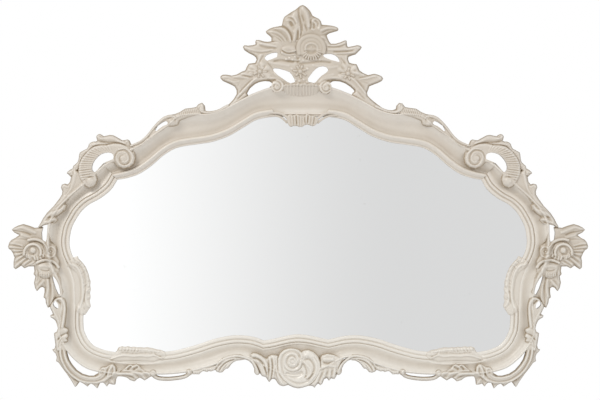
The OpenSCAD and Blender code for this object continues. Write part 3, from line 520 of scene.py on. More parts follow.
class Carving:
    """A relief worked from the front. Grounds and strokes raise it, swells and grooves shape
    its surface, and holes pierce it. All sizes are in millimetres."""

    made = 0

    def __init__(self, side, base=CARVING_BACK, top=SHOULDER, pitch=1.1, drape=False, wash_and_shade=WASH_AND_SHADE):
        """A draped carving follows the moulding under it, and its heights start there. The
        backs of two carvings that cross are never in one plane."""
        self.side, self.pitch, self.drape, self.wash_and_shade = side, pitch, drape, wash_and_shade
        self.base, self.top = (0.0, 0.0) if drape else (base, top)
        self.back = base + BACK_STEP * (Carving.made % BACK_LEVELS)
        Carving.made += 1
        self.steps = []

    def plan(self, points):
        """Places are those of the left side. On the right side they are mirrored."""
        p = np.array(points, float)
        if self.side > 0:
            p[:, 0] = 2 * LEAN * p[:, 1] - p[:, 0]
        return p

    def stroke(self, path, edge, fine=5):
        """A round-backed ridge through (x, z, half width, height above the top)."""
        run = self.plan(path)
        if len(run) > 2:
            run = smooth_run(run, fine)
        self.steps.append(("stroke", run, dict(edge=edge)))

    def boss(self, x, z, r, h, edge):
        """A round button."""
        spot = self.plan([(x, z, r, h), (x + 0.01, z, r, h)])
        self.steps.append(("stroke", spot, dict(edge=edge)))

    def ground(self, outline, h, edge, roll):
        """A flat leaf ground inside an outline, rounded along its edge."""
        line = smooth_run(self.plan(outline), 1)
        self.steps.append(("ground", line, dict(h=h, edge=edge, roll=roll)))

    def groove(self, path, width, depth, fine=4):
        """A cut along a path that runs out at both ends."""
        run = self.plan(path)
        if fine > 1 and len(run) > 2:
            run = smooth_run(run, fine)
        run = np.column_stack([run[:, :2], np.full(len(run), width), np.zeros(len(run))])
        self.steps.append(("groove", run, dict(depth=depth)))

    def swell(self, path, halves, up):
        """A soft swelling along a path, or a soft hollow where up is negative."""
        run = np.column_stack([self.plan(path), halves, np.full(len(halves), up)])
        if len(run) > 2:
            run = smooth_run(run, 4)
        self.steps.append(("swell", run, {}))

    def dab(self, x, z, r, up):
        """A soft round swelling, or an eye where up is negative."""
        self.swell([(x, z), (x, z)], [r, r], up)

    def hole(self, outline):
        """A pierced opening."""
        self.steps.append(("hole", self.plan(outline), {}))

    def field_of(self, x, z, run, reach=1.0):
        """Nearest place on the run for each grid point: offset over half width, height,
        half width and distance along, and then the length of the run."""
        shape = x.shape
        best = np.full(shape, 9.0)
        high = np.zeros(shape)
        half = np.ones(shape)
        along = np.zeros(shape)
        start = 0.0
        for a, b in zip(run[:-1], run[1:]):
            d = b - a
            size = math.hypot(d[0], d[1])
            r = max(a[2], b[2]) * reach + 2 * self.pitch
            i0, i1 = np.searchsorted(z[:, 0], [min(a[1], b[1]) - r, max(a[1], b[1]) + r])
            j0, j1 = np.searchsorted(x[0], [min(a[0], b[0]) - r, max(a[0], b[0]) + r])
            if i0 < i1 and j0 < j1:
                box = (slice(i0, i1), slice(j0, j1))
                gx, gz = x[box] - a[0], z[box] - a[1]
                t = np.clip((gx * d[0] + gz * d[1]) / max(size * size, 1e-9), 0, 1)
                w = np.hypot(gx - t * d[0], gz - t * d[1])
                r_here = a[2] + (b[2] - a[2]) * t
                u = w / np.maximum(r_here, 0.2)
                nearer = u < best[box]
                best[box] = np.where(nearer, u, best[box])
                high[box] = np.where(nearer, a[3] + (b[3] - a[3]) * t, high[box])
                half[box] = np.where(nearer, r_here, half[box])
                along[box] = np.where(nearer, start + t * size, along[box])
            start += size
        return best, high, half, along, start

    def relief(self):
        """The grid, the carved height on it, the height before swells and grooves, and how far
        inside the outline each point lies."""
        spans = []
        for kind, run, _ in self.steps:
            if kind == "stroke":
                spans += [run[:, :2] - run[:, 2:3], run[:, :2] + run[:, 2:3]]
            elif kind == "ground":
                spans.append(run[:, :2])
        low = np.vstack(spans).min(0) - 3 * self.pitch
        high = np.vstack(spans).max(0) + 3 * self.pitch
        xs = np.arange(low[0], high[0], self.pitch)
        zs = np.arange(low[1], high[1], self.pitch)
        x, z = np.meshgrid(xs, zs)
        height = np.full(x.shape, -1e3)
        plateau = np.full(x.shape, -1e3)
        inside = np.full(x.shape, -1e3)
        for kind, run, how in self.steps:
            if kind == "stroke":
                u, up, half, _, _ = self.field_of(x, z, run)
                inside = np.maximum(inside, (1 - u) * half)
                dome = np.sqrt(1 - np.clip(u, 0, 1) ** 2)
                h = self.base + (self.top + up - self.base) * (
                    how["edge"] + (1 - how["edge"]) * dome)
                height = np.where(u < 1 + 1.2 * self.pitch / np.maximum(half, 0.5),
                                  np.maximum(height, h), height)
            elif kind == "ground":
                d = edge_distance(x, z, run[:, :2])
                inside = np.maximum(inside, d)
                lift = np.sqrt(np.clip(1 - (1 - np.clip(d / how["roll"], 0, 1)) ** 2, 0, 1))
                h = self.base + (self.top + how["h"] - self.base) * (
                    how["edge"] + (1 - how["edge"]) * lift)
                height = np.where(d > -1.2 * self.pitch, np.maximum(height, h), height)
                plateau = np.where(d > -1.2 * self.pitch, np.maximum(plateau, h), plateau)
            elif kind == "swell":
                u, up, *_ = self.field_of(x, z, run)
                height = height + up * np.clip(1 - u ** 2, 0, 1) ** 2
            elif kind == "groove":
                u, _, _, along, total = self.field_of(x, z, run, 3.0)
                ends = np.clip(np.minimum(along, total - along) / 4 + 0.25, 0, 1)
                height = height - how["depth"] * ends * np.exp(-u ** 2)
            else:
                inside = np.minimum(inside, -edge_distance(x, z, run[:, :2]))
        return x, z, height, np.where(plateau > 0, plateau, height), inside

    def floor_under(self, seat, x, z, inside):
        """Height of the seat under the carving, unknown where there is none."""
        floor = np.full(x.shape, np.nan)
        if seat is not None:
            for i, j in zip(*np.nonzero(soften((inside > 0).astype(float), 2) > 0)):
                hit = seat.ray_cast(Vector((x[i, j] * MM, -0.2, z[i, j] * MM)),
                                    Vector((0, 1, 0)))[0]
                if hit is not None:
                    floor[i, j] = -hit.y / MM
        return floor

    def build(self, node, seat=None, over=None):
        """Makes the piece that stands in for a node. Where the seat would stand out through the
        carving, the carving rises over it by so much."""
        x, z, height, plateau, inside = self.relief()
        floor = self.floor_under(seat, x, z, inside)
        if over is not None:
            turn = 1 - np.clip(inside / TURN_OVER, 0, 1)
            rise = beyond(floor, self.pitch) + over * np.sqrt(1 - turn ** 2)
            height = np.maximum(height, rise + np.clip(height - plateau, -3, 6))
        full = inside > 0
        weight = soften(full.astype(float))
        height = soften(np.where(full, height, 0.0)) / np.maximum(weight, 1e-6)
        hollow = np.full(x.shape, 0.0)
        for times, share in HOLLOW_BLURS:
            weight = soften(full.astype(float), times)
            level = soften(np.where(full, height, 0.0), times) / np.maximum(weight, 1e-6)
            hollow += share * (level - height)
        if self.drape:
            floor = spread(floor)
            height = height + floor
            under = np.maximum(floor - LET_IN, LIP_BACK)
        else:
            under = np.where(np.isnan(floor), self.back, np.maximum(self.back, floor - LET_IN))
            under = np.minimum(under, self.top - LEAST_DEPTH)
        height = np.maximum(height, under + THINNEST)
        points, faces, hollow = closed_shell(inside, x, z, height, under, hollow)
        # every point of the piece also takes its wash and painted shade
        obj = new_mesh_object("carved_" + node, points, faces, hollow + self.wash_and_shade)
        round_edges(obj, 62)
        dress(obj, lacquer)
        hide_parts(node)


crest = Carving(0, wash_and_shade=1.8)
crest.ground([
    (-36, 332), (-54, 327), (-66, 325), (-74, 326), (-84, 329), (-90, 329), (-92, 325), (-91, 320),
    (-97, 318), (-107, 317), (-115, 318), (-118, 314), (-115, 308), (-106, 302), (-96, 297),
    (-91, 293), (-89, 288), (-92, 281), (-99, 280), (-106, 279), (-110, 272), (-113, 265),
    (-121, 262), (-126, 259), (-132, 256), (-141, 254), (-152, 256), (-160, 256), (-165, 253),
    (-165, 248), (-160, 243), (-151, 239), (-142, 235), (-135, 231), (-131, 223), (-131, 215),
    (-137, 205), (-147, 194), (-159, 185), (-176, 180), (-190, 178), (-199, 178), (-203, 184),
    (-204, 196), (-209, 192), (-213, 183), (-209, 177), (-190, 173), (-172, 175), (-150, 184),
    (-131, 194), (-118, 202), (-108, 210), (-107, 213.5), (-109.5, 217), (-103, 228), (-92, 237),
    (-83, 241), (-72, 243), (-62, 242), (-57, 239), (-57, 233), (-62, 230), (-59, 222), (-50, 218),
    (-30, 222), (0, 224), (30, 222), (62, 214), (66, 221), (64.5, 231), (66, 239), (70, 242),
    (76, 243), (86.5, 242), (97.5, 238), (108, 231), (115.5, 224), (116.5, 220.5), (113, 218),
    (110, 213), (121, 205), (133, 197), (155, 184), (178, 176), (196, 175), (214, 178), (222, 186),
    (217, 196), (213, 195), (209, 186), (196, 181), (180, 182), (163, 195), (152, 204), (144, 212),
    (143, 218), (146, 226), (148, 232), (158, 236), (166, 239), (174, 243), (177, 248), (173, 253),
    (166, 256), (158, 258), (145, 255), (134, 260), (127, 265), (124, 272), (121, 278), (113, 279),
    (106, 281), (103, 288), (104, 294), (112, 297), (119, 299), (123, 303), (129, 309), (132, 314),
    (128, 317), (122, 318), (114, 316), (103, 314), (101, 317), (100, 328), (96, 328), (87, 324),
    (77, 321), (67, 321), (56, 334)], -4, edge=0.4, roll=6)
# left side leaves: grooves between the upper and the long leaf, and folds along them
crest.groove([(-88, 323.5), (-80.5, 317), (-69.5, 313), (-56.5, 312), (-46, 311.5)], 2.2, 2.0)
crest.groove([(-80.5, 326), (-70.5, 324), (-59, 322), (-48, 319)], 0.9, 1.0)
crest.groove([(-104, 305.5), (-86.5, 302), (-70.5, 302.5), (-56.5, 305.5)], 1.1, 1.6)
crest.groove([(-106, 312.5), (-95.5, 310), (-80.5, 308), (-65.5, 308.5)], 0.9, 0.8)
crest.swell([(-86.5, 319.5), (-76, 320.5), (-63, 318), (-48, 314.5)], [3.5, 4.5, 4.5, 3], 1.6)
crest.swell([(-111.5, 312.5), (-97.5, 308.5), (-78, 305.5), (-56.5, 308.5)], [3, 5, 5, 4], 1.6)
# right side leaves
crest.groove([(59, 315), (71, 314), (85.5, 315), (98.5, 320)], 1.3, 2.2)
crest.groove([(71, 304), (87.5, 304), (102, 305), (115.5, 307)], 1.2, 2.4)
crest.groove([(78, 298.5), (96, 298), (112, 299.5)], 1.1, 1.8)
crest.groove([(119, 314), (125, 315.5), (128.5, 314)], 1.0, 1.2)
crest.swell([(61, 317), (78, 318), (97.5, 324)], [3, 4, 3], 1.6)
crest.swell([(61, 309), (80.5, 309), (102, 310.5), (124, 315)], [3, 4.5, 5, 4], 1.8)
crest.swell([(75.5, 300.5), (95, 301), (112, 302)], [2, 2.6, 2], 1.2)
# necks that twist down to the rosettes
crest.swell([(-79, 297.5), (-83.5, 291), (-86.5, 282.5)], [3.5, 3.5, 3], 1.5)
crest.groove([(-74, 296.5), (-78.5, 289), (-83.5, 281.5)], 1.0, 1.8)
crest.groove([(87.5, 291.5), (93.5, 284), (98.5, 277)], 1.2, 2.4)
crest.groove([(81.5, 293.5), (87.5, 286.5), (90, 279)], 1.0, 1.4)
crest.swell([(100, 293.5), (101, 286.5), (103.5, 278)], [3, 3.5, 3], 1.2)
# soft outer petals round the side rosettes
for x, z, ends in ((-82.5, 262, ((-77, 277), (-66, 270), (-66, 255), (-99, 273), (-101, 262))),
                   (103, 258, ((96, 274), (86, 267), (87, 252), (117, 270), (121, 260)))):
    for ex, ez in ends:
        crest.swell([(x + 0.55 * (ex - x), z + 0.55 * (ez - z)), (ex, ez)], [6, 8], 2.2)
    for (ax, az), (bx, bz) in zip(ends, ends[1:]):
        mx, mz = 0.5 * (ax + bx), 0.5 * (az + bz)
        crest.groove([(x + 0.6 * (mx - x), z + 0.6 * (mz - z)),
                      (x + 1.2 * (mx - x), z + 1.2 * (mz - z))], 1.1, 1.0, fine=1)
crest.groove([(-108, 260), (-101.5, 262), (-93, 260)], 1.2, 2)
crest.groove([(-67.5, 282.5), (-59, 273), (-54.5, 264.5), (-53.5, 256)], 1.2, 1.6)
# lower side leaves with a small leaf over each
crest.groove([(-122, 253.5), (-113.5, 253), (-101.5, 251), (-95.5, 251.5)], 1.2, 2.2)
crest.groove([(-159.5, 249), (-148, 245.5), (-137, 243), (-126.5, 243)], 1.0, 1.2)
crest.groove([(-149, 253.5), (-138, 249), (-126.5, 246.5), (-114.5, 246)], 1.0, 1.5)
crest.swell([(-155.5, 252.5), (-140.5, 252.5), (-126.5, 253), (-108, 249)], [3.5, 4, 4, 4], 1.6)
crest.swell([(-121, 259), (-112.5, 257), (-101.5, 254.5)], [2.5, 3.5, 3], 1.6)
crest.swell([(-148, 244), (-136, 241), (-126.5, 243)], [3.5, 4, 3], 1.2)
crest.groove([(125, 249), (136, 250.5), (144.5, 252.5)], 1.2, 2.2)
crest.groove([(125, 257.5), (132.5, 254.5), (141, 252.5)], 1.0, 1.2)
crest.groove([(127.5, 244.5), (141, 245.5), (155, 249), (166, 251.5)], 1.0, 1.4)
crest.groove([(127.5, 242), (138.5, 239.5), (148, 236)], 0.9, 1.2)
crest.swell([(128.5, 246), (145.5, 249), (162.5, 254), (172, 251.5)], [3, 5, 5, 3.5], 1.6)
crest.swell([(114, 261), (124, 257.5), (136, 255)], [3.5, 4, 2.5], 1.8)
# forked stems that run down on to the rails, ribbed between the fork's arms
crest.swell([(-89, 248.5), (-97.5, 243), (-108, 232), (-119, 220.5), (-129.5, 209.5)],
            [3.2, 3.6, 3.8, 3.6, 3.2], 2.4)
crest.groove([(-95.5, 247), (-106, 238.5), (-116.5, 228), (-125.5, 217)], 1.0, 2.4)
crest.groove([(-110.5, 221.5), (-116.5, 216), (-124, 208.5), (-130.5, 202.5)], 1.0, 2.2)
crest.groove([(-126.5, 237.5), (-129.5, 230), (-128.5, 221.5)], 1.0, 1.0)
crest.swell([(-138, 234.5), (-131.5, 229), (-130.5, 220.5)], [2.5, 2.5, 2], 1.0)
crest.swell([(109.5, 249), (119, 242), (128.5, 231), (138.5, 219), (149, 207)],
            [3.2, 3.6, 3.8, 3.6, 3.2], 2.4)
crest.groove([(119, 245.5), (127.5, 237), (136, 226), (141.5, 219)], 1.0, 2.2)
crest.groove([(125, 242), (132.5, 234.5), (140, 226)], 0.8, 1.2)
crest.groove([(121.5, 222.5), (130, 213), (138.5, 204.5)], 1.0, 2.2)
for path in ([(-150, 190), (-170, 179.5), (-190, 176), (-206, 180), (-206.5, 192)],
             [(162, 189), (182, 180), (200, 177), (214, 182), (216, 192)]):
    crest.stroke([(x, z, r, 1) for (x, z), r in zip(path, (3, 3, 3.2, 3.6, 2))], edge=0.75)
# arms that fall from the rosettes and wind into volutes
crest.boss(-45.4, 231, 12.4, 2.4, edge=0.9)
crest.boss(56.4, 229, 12.2, 2.4, edge=0.9)
crest.groove([(-68.5, 245), (-58.5, 244), (-48, 243), (-40.5, 238.5), (-38, 231.5), (-41, 225),
              (-47, 222.8), (-52.5, 226.5), (-53, 232), (-49, 236)], 1.4, 3.0)
crest.groove([(-49, 231.5), (-45, 233.5), (-42.5, 230.5), (-45, 227)], 1.1, 2.0)
crest.groove([(77, 245), (66, 244), (57, 241), (50, 235.5), (48, 228), (52, 222), (59, 220.5),
              (64, 225), (63.5, 231.5), (58.5, 234.5)], 1.4, 3.0)
crest.groove([(58.5, 229.5), (55, 231), (53, 227.5), (56, 225)], 1.1, 2.0)
crest.swell([(-66, 250), (-54, 249), (-42, 246), (-34, 239), (-31.5, 231)], [3, 3.4, 3.6, 3.6, 3],
            1.4)
crest.swell([(80, 250), (66, 250), (54, 246), (45, 239), (42.5, 230)], [3, 3.4, 3.6, 3.6, 3], 1.4)
crest.swell([(-54.5, 260), (-44, 251.5), (-33, 243)], [3, 4, 3], 1.2)
crest.swell([(71, 256.5), (54, 250.5), (42, 239.5)], [4, 4.5, 3], 1.2)
# saddle and post under the flower, with small crumbs of foliage on them
crest.groove([(-54.5, 283.5), (-38.5, 286), (-22.5, 283.5), (-9.5, 281.5)], 2.2, 2.6)
crest.groove([(-1.5, 278), (24, 281), (44.5, 283.5), (68.5, 281)], 2.2, 2.6)
crest.swell([(-62, 281.5), (-44, 278.5), (-22.5, 275)], [4, 5, 4], 1.4)
crest.swell([(80.5, 273), (61, 271), (30, 275.5)], [4, 5, 4], 1.4)
for x, z, r, up in ((-27, 288, 3.2, 2), (-20, 291, 3, 2.5), (-14, 287, 3, 2), (-8, 293, 2.6, 2.5),
                    (1, 288, 2.8, 2), (9, 286, 3, 2), (36, 289, 3.4, 2), (44, 287, 2.6, 2),
                    (-16, 256, 3, 1), (-15, 268, 3, 1), (17, 268, 4, 2), (14, 256, 3, 2),
                    (-8, 245, 3.4, 2), (1, 242, 3.4, 2), (10, 245, 3.4, 2), (17, 240, 2.6, 1.5),
                    (-14, 240, 2.6, 1.5)):
    crest.swell([(x, z), (x + 0.1, z)], [r, r], up + 1)
crest.groove([(-3.5, 292), (-1.5, 288)], 3.2, 4, fine=1)
crest.groove([(-6, 282), (1, 281)], 2.8, 2.4, fine=1)
crest.groove([(37, 292), (39, 288)], 1.6, 3, fine=1)
crest.groove([(-25, 285), (-12, 284), (2, 283)], 1.4, 2.5)
crest.hole([(-48, 303), (-57, 302), (-67, 298), (-72, 293), (-72, 289), (-67, 285), (-58, 288),
            (-51, 291), (-46, 293), (-45, 301)])
crest.hole([(-55, 268), (-51, 270), (-42, 269), (-31, 266), (-20, 262), (-15, 256), (-10, 248),
            (-8, 241), (-12, 239), (-18, 238), (-25, 241), (-35, 248), (-45, 255), (-53, 263)])
crest.hole([(52, 299), (59, 300), (68, 300), (76, 297), (82, 292), (85, 286), (84, 282), (78, 284),
            (70, 286), (61, 289), (53, 293), (51, 296)])
crest.hole([(19, 243), (19, 249), (23, 254), (29, 262), (36, 269), (43, 273), (51, 274), (58, 272),
            (61, 268), (61, 264), (56, 259), (48, 254), (41, 247), (35, 240), (29, 237), (23, 236)])
crest.build("crest_openwork", rail_tree)


# Crest plume
# One tall leaf with a wing on each side, and two curled lobes with shallow eyes that flank
# its central furrow. It is carved in lime and glued on the openwork.
plume = Carving(0, base=9.0, wash_and_shade=2.3)
plume.ground([
    (2, 300), (-20, 300), (-36, 306), (-46, 316), (-58, 326), (-58, 334), (-63, 339), (-68, 343),
    (-70, 347), (-63, 352), (-56, 355), (-46, 357), (-36, 359), (-35, 364), (-33, 373), (-30, 378),
    (-17, 387), (-8, 392), (2, 400.5), (8, 402.4), (13, 400), (18, 396), (24, 389), (28.5, 380),
    (36, 376), (42, 373), (46, 368), (48, 361), (59, 360), (68, 359), (76, 357), (82, 354),
    (83, 350), (80, 348), (73, 346), (63, 343), (58, 339), (60, 333), (63, 326), (68, 320),
    (58, 310), (40, 300)], -3.5, edge=0.45, roll=12)
# left lobe: a rolled edge, the line over its eye, and the eye
plume.swell([(-33, 361.5), (-32.5, 370.5), (-25, 377), (-13, 376.5), (-6, 367)], [4.5, 5, 5, 5, 5],
            1.6)
plume.swell([(-27, 369), (-20, 370.5), (-13.5, 367), (-10.5, 361.5)], [1.6, 2, 2, 1.6], 1.6)
plume.groove([(-25.5, 376.5), (-19, 375.5), (-13, 372.5), (-9, 367), (-7, 360)], 1.2, 2.4)
plume.swell([(-18, 365), (-15, 360)], [4.6, 4.6], -2.4)
plume.swell([(-22, 359), (-17, 352), (-12, 346)], [5, 6, 4], 1.2)
# right lobe, wound a little further
plume.swell([(27, 368.5), (34, 373), (42.5, 368.5), (44.5, 360), (41, 352)], [3.5, 4, 4, 4, 4], 2.0)
plume.groove([(27, 373), (24.5, 367), (25.5, 359), (23.5, 349.5)], 1.2, 2.4)
plume.groove([(32, 370), (37, 367.5), (39.5, 362.5), (39, 357)], 1.1, 1.8)
plume.swell([(27.5, 366), (32, 366), (35, 361)], [1.6, 2, 2], 1.4)
plume.swell([(27, 352), (31, 349.5)], [3, 3], 1.8)
plume.swell([(31, 361), (31.5, 355)], [4.2, 4.2], -2.4)
# central furrow that branches over the flower
plume.groove([(-1, 398), (-1, 388.5), (0, 379), (2.5, 369.5), (4.5, 359), (5, 347), (3, 335.5)],
             1.5, 2.6)
plume.groove([(5, 382.5), (8, 374.5), (10.5, 367)], 1.3, 2.2)
plume.groove([(7, 363.5), (7, 354), (8, 345)], 1.1, 1.8)
plume.groove([(11.5, 362.5), (14, 355.5), (17, 346)], 1.2, 2.2)
plume.groove([(-3, 350.5), (-2, 341.5), (-2.5, 333), (-5, 325)], 1.4, 2.4)
plume.groove([(20.5, 387), (23, 381.5), (24.5, 376.5)], 1.2, 1.4)
plume.swell([(-10.5, 387), (-8.5, 373), (-5, 356.5), (-8.5, 342.5), (-10.5, 328.5)],
            [9, 9, 8, 6, 5], 2.6)
plume.swell([(8, 396.5), (14, 386), (17.5, 373), (20, 358)], [7, 8, 7, 6], 2.6)
plume.swell([(1, 356.5), (1.5, 345), (1, 333)], [2.4, 2.6, 2.4], 1.2)
# wings, ribbed on the left and folded on the right
plume.groove([(-37, 357.5), (-29.5, 355), (-22.5, 348.5), (-17.5, 340), (-15, 330.5), (-15, 323.5)],
             1.4, 3.2)
plume.groove([(-56.5, 349.5), (-47, 348.5), (-39, 345), (-32, 339), (-26.5, 332.5), (-24, 326)],
             1.0, 1.7)
plume.groove([(-59, 343.5), (-49.5, 340.5), (-42, 336.5), (-35.5, 331.5), (-30.5, 324)], 1.0, 1.7)
plume.groove([(-53, 338.5), (-46, 333.5), (-40.5, 329.5), (-36.5, 324)], 1.0, 1.6)
plume.swell([(-50.5, 353.5), (-36.5, 352.5), (-26, 345), (-20, 335.5), (-17.5, 326)],
            [3, 5, 5.5, 5, 4], 2.6)
plume.swell([(-56.5, 346), (-46, 344), (-36.5, 337.5), (-28.5, 327)], [1.6, 2, 2, 2], 1.0)
plume.swell([(-58, 340.5), (-48.5, 337), (-39, 331.5), (-33.5, 325)], [1.6, 2, 2, 2], 1.0)
plume.swell([(46, 348.5), (57.5, 353.5), (69.5, 356), (80, 352.5)], [4, 4, 4, 3], 1.8)
plume.groove([(47, 342.5), (56.5, 348), (66, 350), (75.5, 350)], 1.1, 2.0)
plume.groove([(44.5, 339), (52, 340), (57.5, 339)], 1.1, 1.6)
plume.swell([(46, 334), (54, 333), (60, 326)], [4, 4, 3], 1.4)
plume.build("crest_plume")


# Crest flower
# An open flower with a broad collar above, a cup with its nub, and a skirt of narrow petals.
# It is carved from a block of lime and glued on the openwork.
flower = Carving(0, base=PETAL_BASE, pitch=0.8, wash_and_shade=2.2)
fx, fz = 25.8, 309.5


def ring(c, x, z, r, start, stop, half, h, steps=9, squash=1.0, **how):
    """A stroke that follows part of a circle, angles in degrees."""
    angles = np.radians(np.linspace(start, stop, steps))
    c.stroke([(x + r * math.cos(a), z + squash * r * math.sin(a), half, h) for a in angles],
             fine=2, **how)


flower.boss(fx, fz + 1, 27, -4, edge=0.5)
ring(flower, fx - 0.5, fz + 0.5, 27.2, -14, 200, 4.4, 0.8, steps=13, edge=0.85)
ring(flower, fx, fz, 19.5, -14, 204, 5.2, 0.4, steps=13, edge=0.8)
for i in range(11):
    a = math.radians(210 + 14.5 * i)
    flower.stroke([(fx + 11 * math.cos(a), fz + 11 * math.sin(a), 1.6, 1.6),
                   (fx + 17 * math.cos(a), fz + 16.5 * math.sin(a), 2.1, 1.6),
                   (fx + 22.5 * math.cos(a), fz + 21.5 * math.sin(a), 2.3, 0)], edge=0.75)
flower.boss(fx + 0.4, fz, 13, 0.6, edge=0.9)
ring(flower, fx + 0.4, fz, 13.2, -8, 188, 2.4, 1.4, steps=13, squash=0.92, edge=0.9)
flower.swell([(fx - 6, fz - 6), (fx + 0.4, fz - 7), (fx + 7, fz - 6)], [7, 8, 7], -2.6)
flower.swell([(fx - 5, fz + 4), (fx + 0.4, fz + 5), (fx + 6, fz + 4)], [6, 7, 6], -1.4)
flower.swell([(fx, fz + 4), (fx + 0.1, fz + 4)], [2.4, 2.4], 1.8)
flower.build("crest_flower")


# Crest bud
# A smooth closed bud whose lip curls over the small leaf under it. It is a small block of
# lime, glued on beside the flower.
bud = Carving(0, base=PETAL_BASE, pitch=0.8, wash_and_shade=2.1)
bud.ground([(-39, 314), (-36.5, 318.5), (-29.5, 322), (-20, 323.5), (-10.5, 322.5), (-3.5, 320),
            (-3, 312), (-2.5, 302.5), (-3.5, 295.5), (-9.5, 292.5), (-20, 290.5), (-29.5, 290.5),
            (-38, 294), (-40.5, 300), (-40.5, 307)], -6.5, edge=0.3, roll=14)
bud.swell([(-33, 309), (-21.5, 311), (-9, 309)], [15, 18, 14], 6.5)
bud.swell([(-35, 308.5), (-27, 304), (-19, 303), (-9.5, 305), (-5, 307)], [2.2, 3, 3.2, 3, 2], 1.8)
bud.groove([(-37, 308.5), (-32, 304), (-25, 301), (-17.5, 300.5), (-9.5, 302), (-3.5, 304.5)], 1.0,
           2.6)
bud.swell([(-37, 301), (-30.5, 297), (-20, 295.5), (-8, 297)], [6, 8, 8, 6], 4.5)
bud.groove([(-39, 295.5), (-29.5, 292.5), (-20, 292.5)], 1.2, 1.5)
bud.build("crest_bud")


# Crest rosettes
# Three small rosettes with soft cupped petals and a round eye, each carved from a disc of
# lime and glued on the openwork.
def rosette(name, x, z, r, first):
    c = Carving(0, base=PETAL_BASE, pitch=0.7, wash_and_shade=2.2)
    c.boss(x, z, r * 0.78, -2.5, edge=0.6)
    for i in range(7):
        a = math.radians(first + 360 / 7 * i)
        reach = r * (0.78 + 0.06 * (i % 3))
        c.stroke([(x + r * 0.52 * math.cos(a), z + r * 0.52 * math.sin(a), r * 0.19, -0.8),
                  (x + reach * math.cos(a), z + reach * math.sin(a), r * 0.26, -1.4)], edge=0.6)
    ring(c, x, z, r * 0.46, 0, 360, r * 0.06, -2, steps=17, edge=0.8)
    c.boss(x, z, r * 0.41, 0.8, edge=0.55)
    c.groove([(x - 0.2, z), (x + 0.2, z)], r * 0.1, 0.5, fine=1)
    c.build(name)


rosette("crest_rosette_left", -82.2, 262.5, 14, 100)
rosette("crest_rosette_centre", 2.5, 262.5, 14.5, 70)
rosette("crest_rosette_right", 103, 258, 14, 80)


# Crest panel
# Fine upright flutes under the crest that fade into the hollow of the rails. A thin strip of
# lime is bent to the hollow, glued and fluted.
panel = Carving(0, pitch=0.9, drape=True)
panel.ground([(-34, 236), (-26, 239), (-16, 238), (-6, 241), (4, 243), (14, 240), (24, 240),
              (34, 238), (42, 234), (42, 220), (34, 214), (20, 211), (4, 210), (-12, 211),
              (-26, 214), (-34, 222)], 0.7, edge=-0.6, roll=5)
for i in range(10):
    x = -27 + 6.6 * i
    panel.groove([(x, 233), (x, 224), (x, 212)], 1.3, 1.1)
    panel.swell([(x + 3.3, 232), (x + 3.3, 222), (x + 3.3, 213)], [2.6, 2.6, 2.6], 0.8)
for i in range(9):
    x = -28 + 8 * i
    panel.swell([(x, 236 + 3 * math.sin(i * 1.3)), (x + 2, 236.5)], [3.4, 3.4], 2.0)
panel.build("crest_panel", rail_tree)


# Sight shell
# A shell of fine flutes with a scalloped upper edge and two thin bands on each side. It is
# carved in lime and glued over the moulding at the glass.
shell = Carving(0, base=LIP_BACK, top=SIGHT_TOP, pitch=0.7)
shell.ground([
    (-24, 170), (-21, 172.5), (-17, 173), (-13.5, 171), (-9, 171.5), (-5, 173.5), (-1, 172),
    (4, 169.5), (8.5, 169), (12.5, 170), (14, 173.5), (18, 175), (22, 171.5), (26.5, 170),
    (30.5, 171), (35.5, 167.5), (39.5, 165), (41, 161), (39, 156), (36, 152), (32.5, 149),
    (28.5, 148), (22.5, 150), (17.5, 151.5), (11.5, 150), (6.5, 146.5), (1, 146.5), (-5, 148.5),
    (-12, 148.5), (-14.5, 147.5), (-17.5, 146.5), (-21, 149), (-24, 155), (-26, 160), (-26, 166)],
    -2.5, edge=0.7, roll=2.5)
for line, deep in (([(-18.5, 170), (-17.5, 160), (-17, 149)], 0.9),
                   ([(-12.5, 169.5), (-11.5, 160), (-11, 149.5)], 1.1),
                   ([(-6, 171), (-5.5, 161), (-5, 149.5)], 2.2),
                   ([(0.5, 169), (1, 159), (1.5, 148.5)], 1.0),
                   ([(6.5, 167.5), (6.5, 158), (6.5, 148)], 0.9),
                   ([(11.5, 168.5), (12, 160), (14, 152)], 2.2),
                   ([(19.5, 171.5), (18.5, 163), (17.5, 153)], 2.2),
                   ([(25.5, 168), (25, 159), (24, 151)], 0.9),
                   ([(33, 168.5), (31.5, 160), (29.5, 150)], 2.0),
                   ([(37.5, 164), (35, 157), (32.5, 151)], 1.0)):
    shell.groove(line, 1.0, deep)
for line in ([(-15.5, 168), (-14.5, 159), (-14, 150)], [(-9, 169), (-8.5, 160), (-8, 150)],
             [(-2.5, 169.5), (-2, 160), (-1.5, 149.5)], [(4, 167), (4, 158), (4, 148.5)],
             [(16, 172), (15.5, 163), (15, 154)], [(22, 169), (21.5, 160), (20.5, 152)],
             [(29, 168), (28, 159), (26.5, 150)]):
    shell.swell(line, [2.0, 2.2, 1.8], 1.2)
# fine bands that fall from the rails' roll on both sides
shell.stroke([(-62.5, 170.5, 1.6, -4), (-51, 170, 1.8, -4), (-41, 168, 2, -4), (-33, 163, 2.2, -4),
              (-26, 156, 2.2, -5)], edge=0.8)
shell.stroke([(-60.5, 176, 2.2, -2.5), (-45, 176, 2.6, -2), (-34, 173, 2.8, -2),
              (-25, 166, 2.6, -2.5)], edge=0.85)
shell.stroke([(79, 170, 1.6, -4), (66, 170, 1.8, -4), (55.5, 166.5, 2, -4), (46.5, 161, 2.2, -4),
              (40, 155.5, 2.2, -5)], edge=0.8)
shell.stroke([(75, 176, 2.2, -2.5), (62, 176, 2.6, -2), (51.5, 173, 2.8, -2),
              (41.5, 165.5, 2.6, -2.5)], edge=0.85)
shell.build("sight_shell", rail_tree)


# Upper corner scrolls
# A ribbed C-scroll that rises from a round bulb and winds into a shallow volute. Each is cut
# from a board of lime and glued over the rail at its corner.
def both(make):
    """Carves a piece for the left side and for the right side."""
    for side, hand in ((-1, "left"), (1, "right")):
        make(side, hand)


